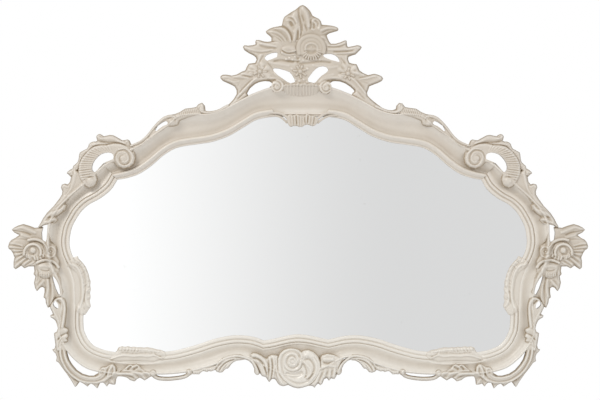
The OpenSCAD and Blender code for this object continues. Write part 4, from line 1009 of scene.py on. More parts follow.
def corner_scroll(side, hand):
    c = Carving(side, pitch=0.8)
    c.ground([
        (-439.5, 17), (-448.5, 20.5), (-457, 29.5), (-462, 38.5), (-465, 49.5), (-464, 67),
        (-457, 82), (-445, 96.5), (-431.5, 106.5), (-417, 110), (-403.5, 110.5), (-390, 113.5),
        (-374, 112.5), (-354, 105.5), (-344.5, 92.5), (-342.5, 80.5), (-346, 68.5), (-355.5, 60.5),
        (-369, 57.5), (-381, 62), (-388, 70), (-395.5, 71), (-409, 70), (-419.5, 59), (-425, 48.5),
        (-422.5, 35), (-426.5, 24.5)], 1.5, edge=0.5, roll=6)
    # cross ribs over the band, from the bulb to the volute
    inner = smooth_run([(-436.5, 39), (-435.5, 56.5), (-433.5, 68.5), (-426.5, 80.5), (-414.5, 90),
                        (-401, 93), (-391, 94)], 20)
    outer = smooth_run([(-455, 36.5), (-462.5, 52.5), (-460.5, 68.5), (-450.5, 84.5),
                        (-435.5, 98.5), (-414.5, 106), (-393, 110)], 20)
    for k in range(19):
        a, b = inner[int(k * 6.3)], outer[int(k * 6.3)]
        c.swell([a, 0.5 * (a + b), b], [2.6, 2.8, 2.4], 1.6 if k < 14 else 1.0)
        if k < 18:
            a, b = inner[int(k * 6.3 + 3)], outer[int(k * 6.3 + 3)]
            c.groove([a, 0.5 * (a + b), b], 0.8, (0.7 + 0.3 * (k % 2)) * (1 if k < 14 else 0.6))
    # line under the rim, which goes on as the spiral of the volute
    c.groove([(-464, 43), (-463.5, 56.5), (-460.5, 72.5), (-450.5, 89), (-435.5, 102.5),
              (-422.5, 107.5), (-409, 107), (-395.5, 110.5), (-382, 112), (-369, 109),
              (-357.5, 102.5), (-348.5, 92.5)], 1.1, 2.4)
    c.groove([
        (-357.5, 102.5), (-348.5, 92.5), (-344.5, 80.5), (-348.5, 68.5), (-362, 60), (-375.5, 62),
        (-384, 70.5), (-387, 81), (-382, 92.5), (-374, 97), (-364.5, 96.5), (-357.5, 90),
        (-354.5, 80.5), (-357.5, 71), (-366, 66.5), (-374, 70.5), (-377, 79), (-373, 86),
        (-367, 86.5)], 1.0, 2.0, fine=6)
    c.swell([
        (-378, 98.5), (-364.5, 100.5), (-352.5, 91), (-349.5, 80.5), (-352.5, 71), (-362, 64.5),
        (-373, 65.5), (-380, 72.5), (-383, 82), (-379.5, 90), (-373, 93), (-364.5, 92), (-360, 86),
        (-358.5, 78), (-363.5, 72), (-370, 73)], [2, 2, 2.2, 2.2, 2.2, 2.2, 2.2, 2.2, 2.2, 2.2, 2.2,
        2.2, 2.2, 2.2, 2, 2], 1.5)
    c.dab(-368, 79, 15, 2.0)
    c.groove([(-376, 80.5), (-375, 76), (-371.5, 73)], 1.5, 1.8)
    # round bulb with a line over it
    c.boss(-438, 32, 13.5, 4.5, edge=0.5)
    c.groove([(-456, 32.5), (-450.5, 35), (-442.5, 39.5), (-433.5, 41.5), (-428.5, 39.5)], 0.9, 1.8)
    c.hole([
        (-435, 56.5), (-435, 63), (-433, 70), (-429, 76.5), (-423.5, 83), (-417, 88.5),
        (-409, 91.5), (-401, 92.5), (-394, 91), (-390, 88), (-389, 83), (-390, 78.5), (-395.5, 76),
        (-403.5, 73), (-410.5, 70), (-417, 63), (-422.5, 56.5), (-426.5, 51.5), (-431.5, 51.5)])
    c.build("corner_scroll_" + hand, rail_tree, over=1.5)


both(corner_scroll)


# Scroll combs
# A ruffled leaf that lies along the outside of each C-scroll and ends in a curled tip. It is
# carved in lime and glued to the scroll's rim.
def scroll_comb(side, hand):
    c = Carving(side, pitch=0.8)
    c.ground([
        (-351.5, 106), (-354, 111.5), (-356.5, 117.5), (-360.5, 120), (-366, 118.5), (-371.5, 118),
        (-378, 122), (-383.5, 125), (-390, 128.5), (-397, 129.5), (-403.5, 128), (-410.5, 126.5),
        (-414.5, 129.5), (-418.5, 131.5), (-423, 130), (-426, 126), (-425, 121), (-423.5, 117),
        (-427.5, 115.5), (-432.5, 115.5), (-437.5, 113.5), (-441.5, 110), (-442.5, 105.5),
        (-446, 100), (-450.5, 98), (-455, 95.5), (-460.5, 92.5), (-462, 86.5), (-463, 79),
        (-465, 72.5), (-469.5, 68), (-474.5, 64), (-475.5, 59), (-481.5, 56), (-486.5, 51.5),
        (-488, 48.5), (-484, 46), (-480, 41.5), (-474.5, 43), (-469, 52.5), (-462, 56.5),
        (-457, 75), (-445, 91), (-431.5, 103.5), (-414.5, 106.5), (-393, 110), (-369, 106),
        (-355.5, 96.5), (-345.5, 97), (-346.5, 103.5)], -4.5, edge=0.5, roll=4)
    # the smooth leaf on top and its curled tip
    c.swell([(-414.5, 121.5), (-402, 121.5), (-390, 121.5), (-378, 116), (-366, 111.5)],
            [4.5, 6.5, 7, 5, 4], 2.4)
    c.groove([(-423, 118), (-414.5, 115), (-402, 113.5), (-387.5, 113), (-374, 111), (-362, 105.5)],
             1.1, 2.6)
    c.swell([(-423, 126.5), (-418.5, 122.5), (-413, 120.5)], [3, 3, 2.5], 1.8)
    c.groove([(-419.5, 128.5), (-415.5, 124.5), (-411, 123.5)], 0.8, 1.5)
    c.swell([(-433, 108), (-422.5, 110.5), (-409, 111.5), (-395.5, 111.5)], [2.6, 3, 2.6, 2], 1.6)
    c.dab(-362, 116, 4.5, 1.8)
    c.groove([(-369, 117.5), (-365.5, 114.5), (-364.5, 111.5)], 0.8, 1.2)
    # rounded lobes, each with a few short ribs
    for line in ([(-437, 112), (-430.5, 107.5)], [(-440.5, 109.5), (-434.5, 104)],
                 [(-431.5, 114.5), (-426.5, 110)], [(-449, 97), (-442.5, 92.5)],
                 [(-454, 95), (-447, 89)], [(-459, 92.5), (-451, 86)], [(-461, 87), (-454, 82.5)],
                 [(-462, 81), (-457, 77)], [(-465, 71), (-460.5, 68.5)],
                 [(-469, 67.5), (-462.5, 63)], [(-473.5, 64), (-465, 57.5)],
                 [(-475, 59), (-466.5, 52.5)]):
        c.swell(line, [3.0, 2.6], 0.8)
    c.swell([(-484, 50.5), (-477, 51), (-475, 43)], [3.4, 3.6, 3], 2.0)
    c.groove([(-478, 53.5), (-473, 47), (-471, 37.5)], 1.0, 1.6)
    c.build("scroll_comb_" + hand, rail_tree, over=1.0)


both(scroll_comb)


# Shoulder scrolls
# A thin stem with a rolled bulb end, and fine flutes where it meets the crest. It is carved
# in lime and glued along the rail's shoulder.
def shoulder_scroll(side, hand):
    c = Carving(side, pitch=0.8)
    c.ground([
        (-352, 107), (-345, 112), (-336, 115), (-326, 121), (-316, 132), (-306, 145), (-295, 158),
        (-284, 166), (-273, 171), (-261, 173), (-251, 177), (-239, 184.5), (-226, 186), (-216, 188),
        (-211, 194), (-203.5, 197), (-198, 191), (-197, 183), (-196, 178), (-203, 176), (-214, 171),
        (-232, 166), (-250, 159), (-254, 150), (-262, 147), (-276, 146), (-290, 136), (-304, 128),
        (-318, 120), (-332, 106), (-344, 102)], -0.5, edge=0.6, roll=5)
    c.stroke([(-354, 106, 2, 0), (-338, 112, 2.6, 0.5), (-326, 119, 3, 1), (-315, 130, 3, 1),
              (-305, 143, 3, 1), (-294, 155, 3, 1.5), (-283, 164, 3.2, 2), (-270, 168, 3.6, 2),
              (-261, 165, 3.6, 2)], edge=0.85)
    c.groove([(-348, 106), (-334, 110), (-320, 121), (-308, 136), (-298, 148)], 0.9, 1.6)
    c.dab(-267, 155.5, 10, 4.0)
    c.groove([(-276, 162.5), (-271, 165), (-264, 166), (-259, 161)], 0.8, 1.4)
    c.swell([(-262.5, 169), (-258, 163.5), (-256.5, 156.5)], [2, 2.2, 2], 1.4)
    for i in range(12):
        t = i / 11
        x, z = -250 + 42 * t, 178 + 9 * math.sin(math.pi * t / 1.8)
        c.groove([(x - 2.4, z + 3), (x + 2.0, z - 12)], 0.8, 1.3, fine=1)
        c.swell([(x - 0.8, z + 3), (x + 3.6, z - 11)], [1.7, 1.5], 0.9)
    # the pointed leaf at the stem's foot stands up behind the flutes
    c.swell([(-203, 192), (-204, 182), (-200, 177)], [4, 5, 4], 1.6)
    c.groove([(-213, 185), (-207, 180), (-198, 176)], 0.9, 2.0)
    c.hole([(-303, 139), (-299, 137), (-292, 143), (-285, 148), (-276, 151), (-275, 155),
            (-280, 159), (-287, 156), (-297, 149)])
    c.build("shoulder_scroll_" + hand, rail_tree, over=1.4)


both(shoulder_scroll)


# Edge leaves
# A long leaf down each side of the frame, with two lobes wrapped over the rail's edge. It is
# carved in lime and glued to the side rail.
def edge_leaf(side, hand):
    c = Carving(side, pitch=0.8)
    c.ground([
        (-474, 60), (-478, 44), (-481, 31), (-486, 25), (-492, 27), (-498, 25), (-500, 19),
        (-497, 11), (-498, 4), (-503, -4), (-515, -20), (-529, -34), (-537, -45), (-543, -56),
        (-548, -64), (-543, -65), (-538, -61), (-530, -59), (-512, -56), (-506, -50), (-510, -44),
        (-502, -38), (-490, -28), (-487, -18), (-492, -14), (-486, -12), (-480, -2), (-470, 8),
        (-458, 18), (-452, 30), (-458, 50)], -2, edge=0.55, roll=6)
    c.swell([(-470, 48), (-476, 24), (-488, 4), (-504, -14), (-521, -32), (-536, -52)],
            [5, 5, 5, 5, 5, 4], 1.6)
    c.groove([(-486.5, 0.5), (-495.5, -9.5), (-505, -18.5), (-514.5, -25.5), (-522.5, -33),
              (-530.5, -42.5)], 1.0, 1.8)
    c.swell([(-486, 20), (-493, 24), (-497, 19)], [3.5, 3.8, 3.2], 1.6)
    c.groove([(-480, 26), (-483, 14), (-492, 2)], 1.0, 1.6)
    # two lobes that curl back over the hollow of the rail
    c.swell([(-528, -41), (-518.5, -35.5), (-508, -32.5), (-498.5, -26), (-493, -19)],
            [4, 5.5, 6.5, 5.5, 2.5], 3.2)
    c.groove([(-528, -44), (-517, -42.5), (-506.5, -40.5), (-498.5, -34.5), (-492.5, -25.5)], 1.0,
             2.2)
    c.groove([(-520, -30.5), (-510.5, -28), (-501, -25), (-494.5, -18.5)], 0.9, 1.2)
    c.swell([(-538.5, -61), (-530.5, -54.5), (-521, -50.5), (-514, -47.5)], [4, 5, 5, 3.5], 3.0)
    c.groove([(-536, -64), (-528, -58.5), (-518.5, -54.5), (-511, -50)], 1.0, 2.0)
    c.swell([(-510, -47), (-509.5, -47)], [3, 3], 1.5)
    c.build("edge_leaf_" + hand, rail_tree, over=1.4)


both(edge_leaf)


# Side sprays
# Pointed and fanned leaves that stand out from the rail behind two flowers. Each spray is
# pierced and carved from one board of lime and glued to the side rail.
def side_spray(side, hand):
    c = Carving(side, pitch=0.9, wash_and_shade=2.0)
    c.ground([
        (-530, -66), (-540, -64), (-548, -65), (-556, -66), (-566, -62), (-580, -58), (-590, -61),
        (-598, -65), (-604, -70), (-598, -76), (-588, -81), (-596, -87), (-604, -91), (-609, -97),
        (-611.5, -105), (-610, -110), (-605, -113), (-601, -120), (-598, -128), (-600, -138),
        (-600, -149), (-596, -153), (-584, -145), (-577, -151), (-569, -147), (-557, -147),
        (-556, -157), (-558, -163), (-554, -168), (-557, -181), (-555, -192), (-551, -199),
        (-545, -192), (-539, -190), (-535, -193), (-535, -201), (-537, -212), (-533, -215),
        (-532, -224), (-528, -234), (-522, -231), (-516, -222), (-508, -212), (-498, -208),
        (-494, -200), (-498, -190), (-500, -172), (-506, -157), (-503, -146), (-503, -136),
        (-507, -128), (-510, -122), (-508.5, -113), (-510, -104), (-518, -96)], -6.5, edge=0.5,
        roll=8)
    # the top leaf with its fold
    c.swell([(-599, -68), (-583, -64.5), (-568, -70), (-554.5, -76)], [3, 5.5, 6, 5], 2.4)
    c.groove([(-601.5, -71), (-588, -73.5), (-574.5, -76), (-561.5, -81.5)], 1.3, 2.6)
    c.swell([(-587, -80), (-576, -83), (-564, -86.5)], [3, 4, 4], 1.6)
    # fan of narrow lobes
    ribs = ([(-609, -97.5), (-596, -99), (-581, -103.5)],
            [(-611.5, -105.5), (-597, -107), (-581, -109)],
            [(-605.5, -113), (-593.5, -113.5), (-580, -114)],
            [(-599.5, -122), (-589.5, -121), (-579, -118.5)],
            [(-597, -135), (-588, -129), (-576.5, -122.5)],
            [(-595.5, -147), (-585.5, -138), (-574.5, -129)],
            [(-581.5, -145), (-572.5, -138), (-564.5, -133)],
            [(-573.5, -148), (-565.5, -143), (-556.5, -137.5)],
            [(-562.5, -145), (-558, -143.5), (-553.5, -141.5)])
    for rib in ribs:
        c.swell(rib, [3.6, 3.8, 3.0], 1.8)
    for one, other in zip(ribs, ribs[1:]):
        between = [(0.5 * (a[0] + b[0]), 0.5 * (a[1] + b[1])) for a, b in zip(one, other)]
        c.groove(between, 1.0, 1.3)
    c.groove([(-595, -90.5), (-583, -89.5), (-568, -91.5)], 1.1, 1.6)
    # lobed leaves below the flowers
    c.swell([(-536, -176.5), (-542.5, -184.5), (-550, -195)], [4, 4, 3], 2.0)
    c.swell([(-552, -157.5), (-550.5, -168.5), (-553.5, -181.5)], [3, 3.5, 2.5], 1.6)
    c.groove([(-541, -175), (-546.5, -181.5), (-552, -189.5)], 0.9, 1.6)
    c.groove([(-548, -163), (-549.5, -173.5), (-554.5, -181.5)], 0.9, 1.6)
    c.swell([(-528, -176), (-527, -194), (-530, -212), (-527, -228)], [4, 4.5, 4, 3], 2.2)
    c.swell([(-518, -184), (-517, -200), (-517, -214), (-521, -226)], [3, 3.4, 3, 2.4], 2.0)
    c.groove([(-524, -172), (-522, -192), (-523, -212), (-525, -228)], 0.9, 2.0)
    c.groove([(-534, -180), (-533, -194), (-535, -206)], 0.9, 1.6)
    c.groove([(-527, -160), (-526, -168), (-524, -174)], 1.8, 3.0)
    # stem to the rail beside the pierced gap
    c.swell([(-516, -166), (-513, -182), (-508, -198), (-500, -208)], [3, 3.4, 3.6, 4], 2.0)
    c.swell([(-503, -124), (-505, -142), (-507, -158)], [5, 5, 4], 1.2)
    # open curl beside the upper flower
    c.swell([(-529, -125), (-521, -127.5), (-514, -124), (-511, -116), (-514, -109),
             (-521, -105.5), (-527, -109), (-528.5, -114.5), (-524.5, -119.5),
             (-519.5, -118)], [2.6] * 10, 2.4)
    c.dab(-521, -116, 5, -1.5)
    c.groove([(-523, -114.5), (-520, -117.5), (-522, -121.5)], 1.3, 1.8)
    c.hole([(-538, -64), (-532, -61), (-527, -65), (-526.5, -74), (-528, -86), (-532, -96),
            (-536, -98), (-540, -90), (-541, -76)])
    c.hole([(-519, -168), (-515, -168), (-510, -174), (-504, -186), (-501, -200), (-502, -206),
            (-506, -206), (-512, -193), (-516, -180)])
    c.build("side_spray_" + hand, rail_tree, over=1.2)


both(side_spray)


# Side flowers
# Each side has an upper and a lower flower, cups with folded petals arched over them. They
# are small blocks of lime, glued on the spray.
def upper_flower(side, hand):
    c = Carving(side, base=PETAL_BASE, pitch=0.7)
    c.ground([
        (-580, -117.5), (-577.5, -106.5), (-569.5, -97.5), (-558.5, -91.5), (-546.5, -91.5),
        (-536, -97.5), (-528, -106.5), (-528, -120), (-532, -128), (-538.5, -133.5), (-549.5, -137),
        (-558.5, -135), (-568, -132), (-577.5, -127)], -3.5, edge=0.55, roll=7)
    c.stroke([(x, z, 2.8, -0.5) for x, z in [(-568, -91.5), (-557.5, -89.5), (-545.5, -91.5),
              (-535, -97.5), (-529, -106), (-527, -114.5)]], edge=0.85)
    c.groove([(-570, -96), (-558.5, -94), (-546.5, -96), (-537, -102.5), (-531.5, -112),
              (-530.5, -121.5)], 1.2, 2.6)
    c.swell([(-546.5, -102.5), (-538.5, -109.5), (-536, -117.5), (-537, -125.5)], [3, 3.4, 3.2, 3],
            1.8)
    c.groove([(-542.5, -105.5), (-538, -113.5), (-539, -122.5)], 0.9, 1.4)
    # cup with a lit rim and a rounded eye
    c.stroke([(x, z, 2.1, 1.0) for x, z in [(-578, -121.5), (-576.5, -113.5), (-572, -106),
              (-565.5, -101.5), (-557.5, -100), (-549.5, -102.5), (-544, -108.5), (-541.5, -116),
              (-542.5, -122.5)]], edge=0.88)
    c.dab(-558.5, -113.5, 11, -2.0)
    c.boss(-558.5, -112.5, 6.2, 1.0, edge=0.75)
    c.groove([(-568.5, -110.5), (-568, -117.5), (-562.5, -121.5), (-554.5, -120.5)], 1.3, 1.8)
    # small petals that hang under the cup
    for line in ([(-575.5, -117.5), (-576, -124)], [(-572, -121.5), (-571.5, -129)],
                 [(-567.5, -124), (-566, -131)], [(-556, -125.5), (-554, -133.5)],
                 [(-550, -125.5), (-548, -134)], [(-544, -124), (-541, -131.5)],
                 [(-538.5, -121.5), (-535, -127)]):
        c.swell(line, [2.6, 2.8], 2.4)
    c.groove([(-560.5, -127.5), (-558.5, -132), (-554.5, -137.5)], 1.6, 4.0)
    c.build("flower_upper_" + hand, rail_tree, over=1.6)


def lower_flower(side, hand):
    c = Carving(side, base=PETAL_BASE, pitch=0.7)
    c.ground([
        (-552, -143), (-545.5, -135.5), (-533, -132), (-520, -133.5), (-509, -139.5), (-503, -148),
        (-503.5, -157.5), (-510.5, -163), (-518.5, -165), (-522.5, -169.5), (-529, -172.5),
        (-537, -172.5), (-545.5, -168.5), (-547.5, -160), (-550.5, -152)], -3, edge=0.55, roll=7)
    c.stroke([(x, z, 2.8, 0) for x, z in [(-550, -139), (-541, -135), (-530.5, -133),
              (-519, -135), (-510, -141), (-505, -148)]], edge=0.85)
    c.groove([(-551.5, -143), (-541, -139), (-530.5, -137.5), (-520.5, -139.5), (-512.5, -145),
              (-509, -152)], 1.2, 2.6)
    c.swell([(-518.5, -144), (-514.5, -151), (-516, -159)], [3, 3.4, 3], 1.8)
    c.swell([(-544, -147), (-533, -145.5), (-525, -148)], [4.5, 5.5, 4.5], 2.0)
    c.groove([(-543.5, -153), (-536, -156), (-528, -156), (-522.5, -153.5)], 1.2, 2.2)
    for x in (-544, -539.5, -535, -530.5, -526):
        c.swell([(x, -162), (x, -167)], [2.2, 2.0], 2.6)
    c.build("flower_lower_" + hand, rail_tree, over=1.6)


both(upper_flower)
both(lower_flower)


# Hook scrolls
# A hooked band that hangs from the spray and passes through a crossed husk. It is carved in
# lime and glued along the side rail's edge.
def hook_scroll(side, hand):
    c = Carving(side, pitch=0.8)
    c.ground([
        (-518.5, -221.5), (-512.5, -215), (-505.5, -210.5), (-497.5, -210.5), (-491, -214),
        (-488.5, -222.5), (-487.5, -236.5), (-488.5, -248.5), (-490, -262.5), (-491.5, -273.5),
        (-487, -276), (-484, -279), (-484, -282.5), (-486, -286.5), (-484, -290.5), (-484, -295),
        (-487, -298), (-485, -301.5), (-486, -305.5), (-492.5, -309.5), (-497.5, -315),
        (-499.5, -325), (-508.5, -326), (-511, -317), (-513, -301), (-514.5, -287),
        (-508.5, -283.5), (-506, -276.5), (-508, -268.5), (-511.5, -260.5), (-516.5, -256.5),
        (-521.5, -254), (-522.5, -250), (-519.5, -248), (-516.5, -248), (-519, -241.5),
        (-522.5, -234.5), (-523, -228.5)], 0, edge=0.45, roll=5)
    c.swell([(-513, -217.5), (-504.5, -213.5), (-496, -218), (-491, -231.5), (-492, -247.5),
             (-494.5, -262.5), (-497, -273.5)], [3, 4, 4.5, 4.5, 4.5, 4.5, 4], 3.0)
    c.swell([(-506.5, -219), (-500.5, -224.5)], [3, 3.4], -3.0)
    c.groove([(-499.5, -226.5), (-498, -242.5), (-500.5, -258.5), (-504.5, -271.5)], 1.3, 2.2)
    c.swell([(-516.5, -239.5), (-508.5, -252.5), (-504, -266.5), (-503, -276.5)], [2, 3, 3, 3], 1.4)
    # husk: two leaves that cross over the band
    c.swell([(-510, -297), (-502.5, -284.5), (-492.5, -279), (-482.5, -279)], [6, 7, 7, 5], 1.3)
    c.groove([(-507, -302), (-498.5, -292), (-488.5, -287), (-481, -285)], 1.2, 2.6)
    c.swell([(-504.5, -311), (-499, -299), (-489.5, -294), (-482, -295)], [5, 5.5, 5.5, 4], 1.1)
    c.groove([(-498, -307), (-489.5, -305), (-481, -302.5)], 1.3, 2.0)
    c.groove([(-505.5, -319), (-503, -306), (-496.5, -297)], 1.1, 1.8)
    c.hole([(-515, -221), (-510.5, -219.5), (-506, -225.5), (-504.5, -233), (-508, -236),
            (-514, -231.5), (-517, -226.5)])
    c.build("hook_scroll_" + hand, rail_tree, over=1.4)


both(hook_scroll)


# Side ruffles
# A low crumpled band at the glass on each side, between two leaf tips. It is carved in place
# from a strip of lime that is glued over the beads.
def sight_ruffle(side, hand):
    c = Carving(side, pitch=0.8, drape=True, wash_and_shade=0.8)
    c.ground([
        (-466, -125), (-463.5, -131), (-454, -141), (-449, -148), (-446, -155), (-442.5, -164),
        (-441, -172), (-438.5, -179), (-439.5, -187), (-438, -195), (-440, -203), (-438.5, -211),
        (-440.5, -220), (-438, -231), (-443, -239), (-450, -249), (-457, -250), (-468, -242),
        (-467, -230), (-461, -216), (-460, -195), (-462, -176), (-467, -162), (-478, -152),
        (-488, -146), (-486, -136), (-475, -129)], 1.8, edge=-0.3, roll=7)
    c.swell([(-482, -141), (-467, -149), (-459, -163), (-455.5, -180), (-454.5, -198),
             (-455.5, -214), (-461, -234)], [3, 3.6, 4, 4, 4, 3.8, 3], 2.0)
    c.swell([(-470, -131), (-459, -140), (-450, -154), (-445, -170), (-443, -188)],
            [2, 2.8, 3.2, 3.2, 2.8], 1.4)
    c.swell([(-441, -232), (-446, -226), (-449, -212), (-446, -198)], [2.6, 3.4, 3.4, 2.8], 1.6)
    c.groove([(-476, -138), (-461, -146), (-453, -160), (-449.5, -178), (-449, -196), (-451, -212),
              (-454, -228)], 1.0, 1.4)
    for i, (x, z) in enumerate(((-452, -147), (-447, -157), (-444, -167), (-442, -178),
                                (-441.5, -190), (-441.5, -203), (-442.5, -215))):
        c.groove([(x - 4, z - 3 + i % 2), (x + 3, z)], 1.0, 1.1, fine=1)
        c.swell([(x - 2, z + 3), (x + 1, z + 5)], [2.4, 2.2], 0.9)
    c.build("sight_ruffle_" + hand, rail_tree)


both(sight_ruffle)


# Foot scrolls
# A C-scroll round each lower corner, with a fringed leaf outside and a curl at its end. It is
# carved from one board of lime and glued under the corner of the rails.
def foot_scroll(side, hand):
    c = Carving(side, pitch=0.8)
    c.ground([
        (-511, -309), (-513, -318), (-515.5, -321.5), (-519, -321), (-516.5, -325), (-511.5, -330),
        (-509, -337), (-510.5, -346), (-504.5, -349.5), (-497.5, -360), (-487.5, -373),
        (-477.5, -388), (-470.5, -400.5), (-467.5, -398), (-464, -393), (-460.5, -389),
        (-454.5, -392), (-449.5, -395.5), (-444.5, -399.5), (-441, -395.5), (-437, -393),
        (-431, -396), (-427, -400.5), (-424, -403.5), (-421.5, -398), (-418, -391), (-411, -391),
        (-407, -395), (-404, -399.5), (-401.5, -396), (-399, -393), (-393, -395), (-386.5, -395.5),
        (-385, -385), (-380.5, -376), (-379.5, -367), (-383.5, -357), (-389, -351.5),
        (-445.5, -385), (-473.5, -367), (-491.5, -325), (-497.5, -309)], -6, edge=0.55, roll=4)
    c.ground([
        (-506.5, -309), (-504.5, -329), (-501.5, -344), (-491.5, -363.5), (-478.5, -378),
        (-463, -388.5), (-443.5, -393), (-423, -392.5), (-407, -388), (-394, -378.5),
        (-382.5, -369), (-385, -357), (-390, -351), (-396, -351.5), (-405, -356.5), (-415, -357.5),
        (-420, -365), (-422, -373), (-427, -377), (-441.5, -377), (-455.5, -373), (-467.5, -365),
        (-477.5, -353), (-483.5, -343), (-486, -335), (-489, -323), (-492, -313), (-497.5, -309)],
        -0.5, edge=0.6, roll=4)
    # two rims with a groove between them
    c.swell([(-493, -325), (-489, -341), (-479.5, -357.5), (-467, -369.5), (-453.5, -377.5),
             (-437, -381), (-423.5, -379.5), (-415, -374.5)], [2.4, 3, 3, 3, 3, 3, 3, 2.4], 1.6)
    c.swell([(-501, -317), (-500.5, -333), (-496.5, -347), (-486.5, -365), (-473, -379.5),
             (-457.5, -389), (-439, -393), (-421, -391.5), (-406.5, -386), (-394.5, -376)],
            [2.4, 2.8, 2.8, 2.8, 2.8, 2.8, 2.8, 2.8, 3, 3], 2.0)
    c.groove([(-497.5, -321), (-495.5, -337), (-490, -352), (-480.5, -366.5), (-467.5, -377.5),
              (-453.5, -385), (-437, -388), (-423, -387), (-410.5, -381), (-402.5, -370.5)], 1.5,
             2.4)
    # curl and leaf at the inner end
    c.swell([(-419, -372.5), (-417, -364), (-410.5, -360.5), (-406.5, -364.5), (-408, -372.5)],
            [2, 2.2, 2.2, 2.2, 2], 1.6)
    c.dab(-412.5, -369.5, 3, -1.8)
    c.swell([(-401.5, -378), (-398.5, -366), (-392.5, -355.5)], [3.2, 3.8, 3], 2.2)
    c.swell([(-391.5, -376), (-387, -367), (-388, -358.5)], [3, 3.4, 2.6], 1.6)
    c.groove([(-404.5, -376), (-402, -364.5), (-396.5, -354.5)], 1.1, 2.0)
    c.groove([(-395.5, -378), (-392, -367.5), (-391, -358.5)], 1.0, 1.6)
    # folds of the fringed leaf
    for line in ([(-491.5, -367), (-479.5, -383), (-470.5, -397.5)],
                 [(-453.5, -391), (-447.5, -395), (-444.5, -398)],
                 [(-432, -395), (-427, -398), (-424.5, -401.5)],
                 [(-409.5, -389.5), (-406, -394), (-404.5, -398)],
                 [(-396, -384), (-392, -389), (-388, -394.5)]):
        c.swell(line, [3.4, 3.4, 2], 1.8)
    for line in ([(-473.5, -383), (-466, -387), (-461.5, -389.5)], [(-440.5, -395), (-438, -394)],
                 [(-417.5, -394), (-417, -391.5)], [(-400, -388), (-399, -393)]):
        c.groove(line, 1.0, 1.6, fine=1)
    c.build("foot_scroll_" + hand, rail_tree, over=1.4)


both(foot_scroll)


# Foot sprigs
# Small leaves beside the curl that lie over the rail's lower edge, carved in lime and glued
# on.
def foot_sprig(side, hand):
    c = Carving(side, pitch=0.8)
    c.ground([
        (-385, -367), (-375, -365.5), (-367, -359.5), (-359, -354), (-352, -352), (-347, -354),
        (-342, -351), (-335.5, -354.5), (-330.5, -360), (-322.5, -365), (-314.5, -367.5),
        (-307.5, -373), (-311, -378), (-316.5, -381.5), (-324.5, -386.5), (-330, -382.5),
        (-335, -380.5), (-340, -383.5), (-345.5, -388.5), (-355, -385.5), (-361, -380.5),
        (-369, -378), (-377, -377.5), (-382.5, -378)], -3, edge=0.55, roll=4)
    c.swell([(-381, -372.5), (-365, -371.5), (-351, -374.5), (-340, -381)], [3, 4, 4, 3], 2.2)
    c.swell([(-369, -366.5), (-349, -367), (-333, -372), (-323.5, -382)], [3, 4, 4, 3], 2.2)
    c.swell([(-329, -365), (-316.5, -371), (-313.5, -376)], [3, 3.4, 3], 1.6)
    c.groove([(-379, -369.5), (-363, -368.5), (-347, -370.5), (-335, -379)], 1.0, 1.6)
    c.groove([(-373, -376.5), (-361, -375.5), (-352, -378), (-345, -383)], 1.0, 1.8)
    c.groove([(-339, -366.5), (-326.5, -370.5), (-317.5, -380)], 1.0, 1.2)
    c.swell([(-358.5, -362.5), (-353.5, -357.5)], [3, 3], -3.0)
    c.swell([(-346.5, -362.5), (-339.5, -358.5)], [3, 3.2], -3.0)
    c.swell([(-363.5, -361.5), (-357.5, -354.5), (-352, -354)], [1.8, 2.2, 2], 2.2)
    c.swell([(-350.5, -360), (-345, -354), (-338, -354.5)], [1.8, 2.2, 2], 2.2)
    c.build("foot_sprig_" + hand, rail_tree, over=1.2)


both(foot_sprig)


# Foot ruffles
# A low crumpled leaf over the lines at the glass, beside each lower corner. It is carved in
# place from a strip of lime that is glued over the beads.
def foot_ruffle(side, hand):
    c = Carving(side, pitch=0.8, drape=True, wash_and_shade=0.8)
    c.ground([
        (-400, -343.5), (-396, -337), (-390, -331), (-383.5, -325), (-380, -317.5), (-373, -315),
        (-366.5, -316.5), (-360, -315), (-353.5, -317), (-347, -316), (-340.5, -317.5),
        (-333.5, -317), (-326.5, -318), (-320.5, -317), (-313.5, -318), (-306.5, -319.5),
        (-300, -321.5), (-290.5, -323), (-280.5, -327.5), (-278.5, -335), (-284.5, -341.5),
        (-296.5, -344.5), (-304.5, -347.5), (-324.5, -346.5), (-345, -346), (-365, -346),
        (-385, -347.5)], 1.8, edge=-0.3, roll=7)
    c.swell([(-395, -341.5), (-379, -336), (-365, -334), (-349, -335.5), (-333, -334.5),
             (-316.5, -336), (-304.5, -334), (-288.5, -340.5)], [2, 3, 4, 4, 4, 4, 3, 2], 2.2)
    c.swell([(-377, -321.5), (-361, -321), (-341, -322), (-320.5, -322.5), (-304.5, -325.5),
             (-290.5, -327)], [3, 3.6, 3.6, 3.4, 3, 2], 1.4)
    for i in range(10):
        x = -399 + 6.8 * i
        z = -317 - 0.6 * (i % 2) - 0.2 * i
        c.groove([(x + 1.5, z), (x, z - 4), (x - 2.5, z - 9)], 1.0, 1.2)
        c.swell([(x + 4, z - 1), (x + 3, z - 5)], [2.4, 2.4], 0.9)
    c.groove([(-378, -317.5), (-384, -326), (-395.5, -335.5)], 1.1, 2.0)
    c.groove([(-376, -328), (-361, -329), (-345, -330), (-324.5, -329), (-308.5, -330)], 1.1, 1.4)
    c.groove([(-306.5, -325), (-299.5, -333.5), (-288.5, -337.5)], 1.0, 1.6)
    c.build("foot_ruffle_" + hand, rail_tree)


both(foot_ruffle)


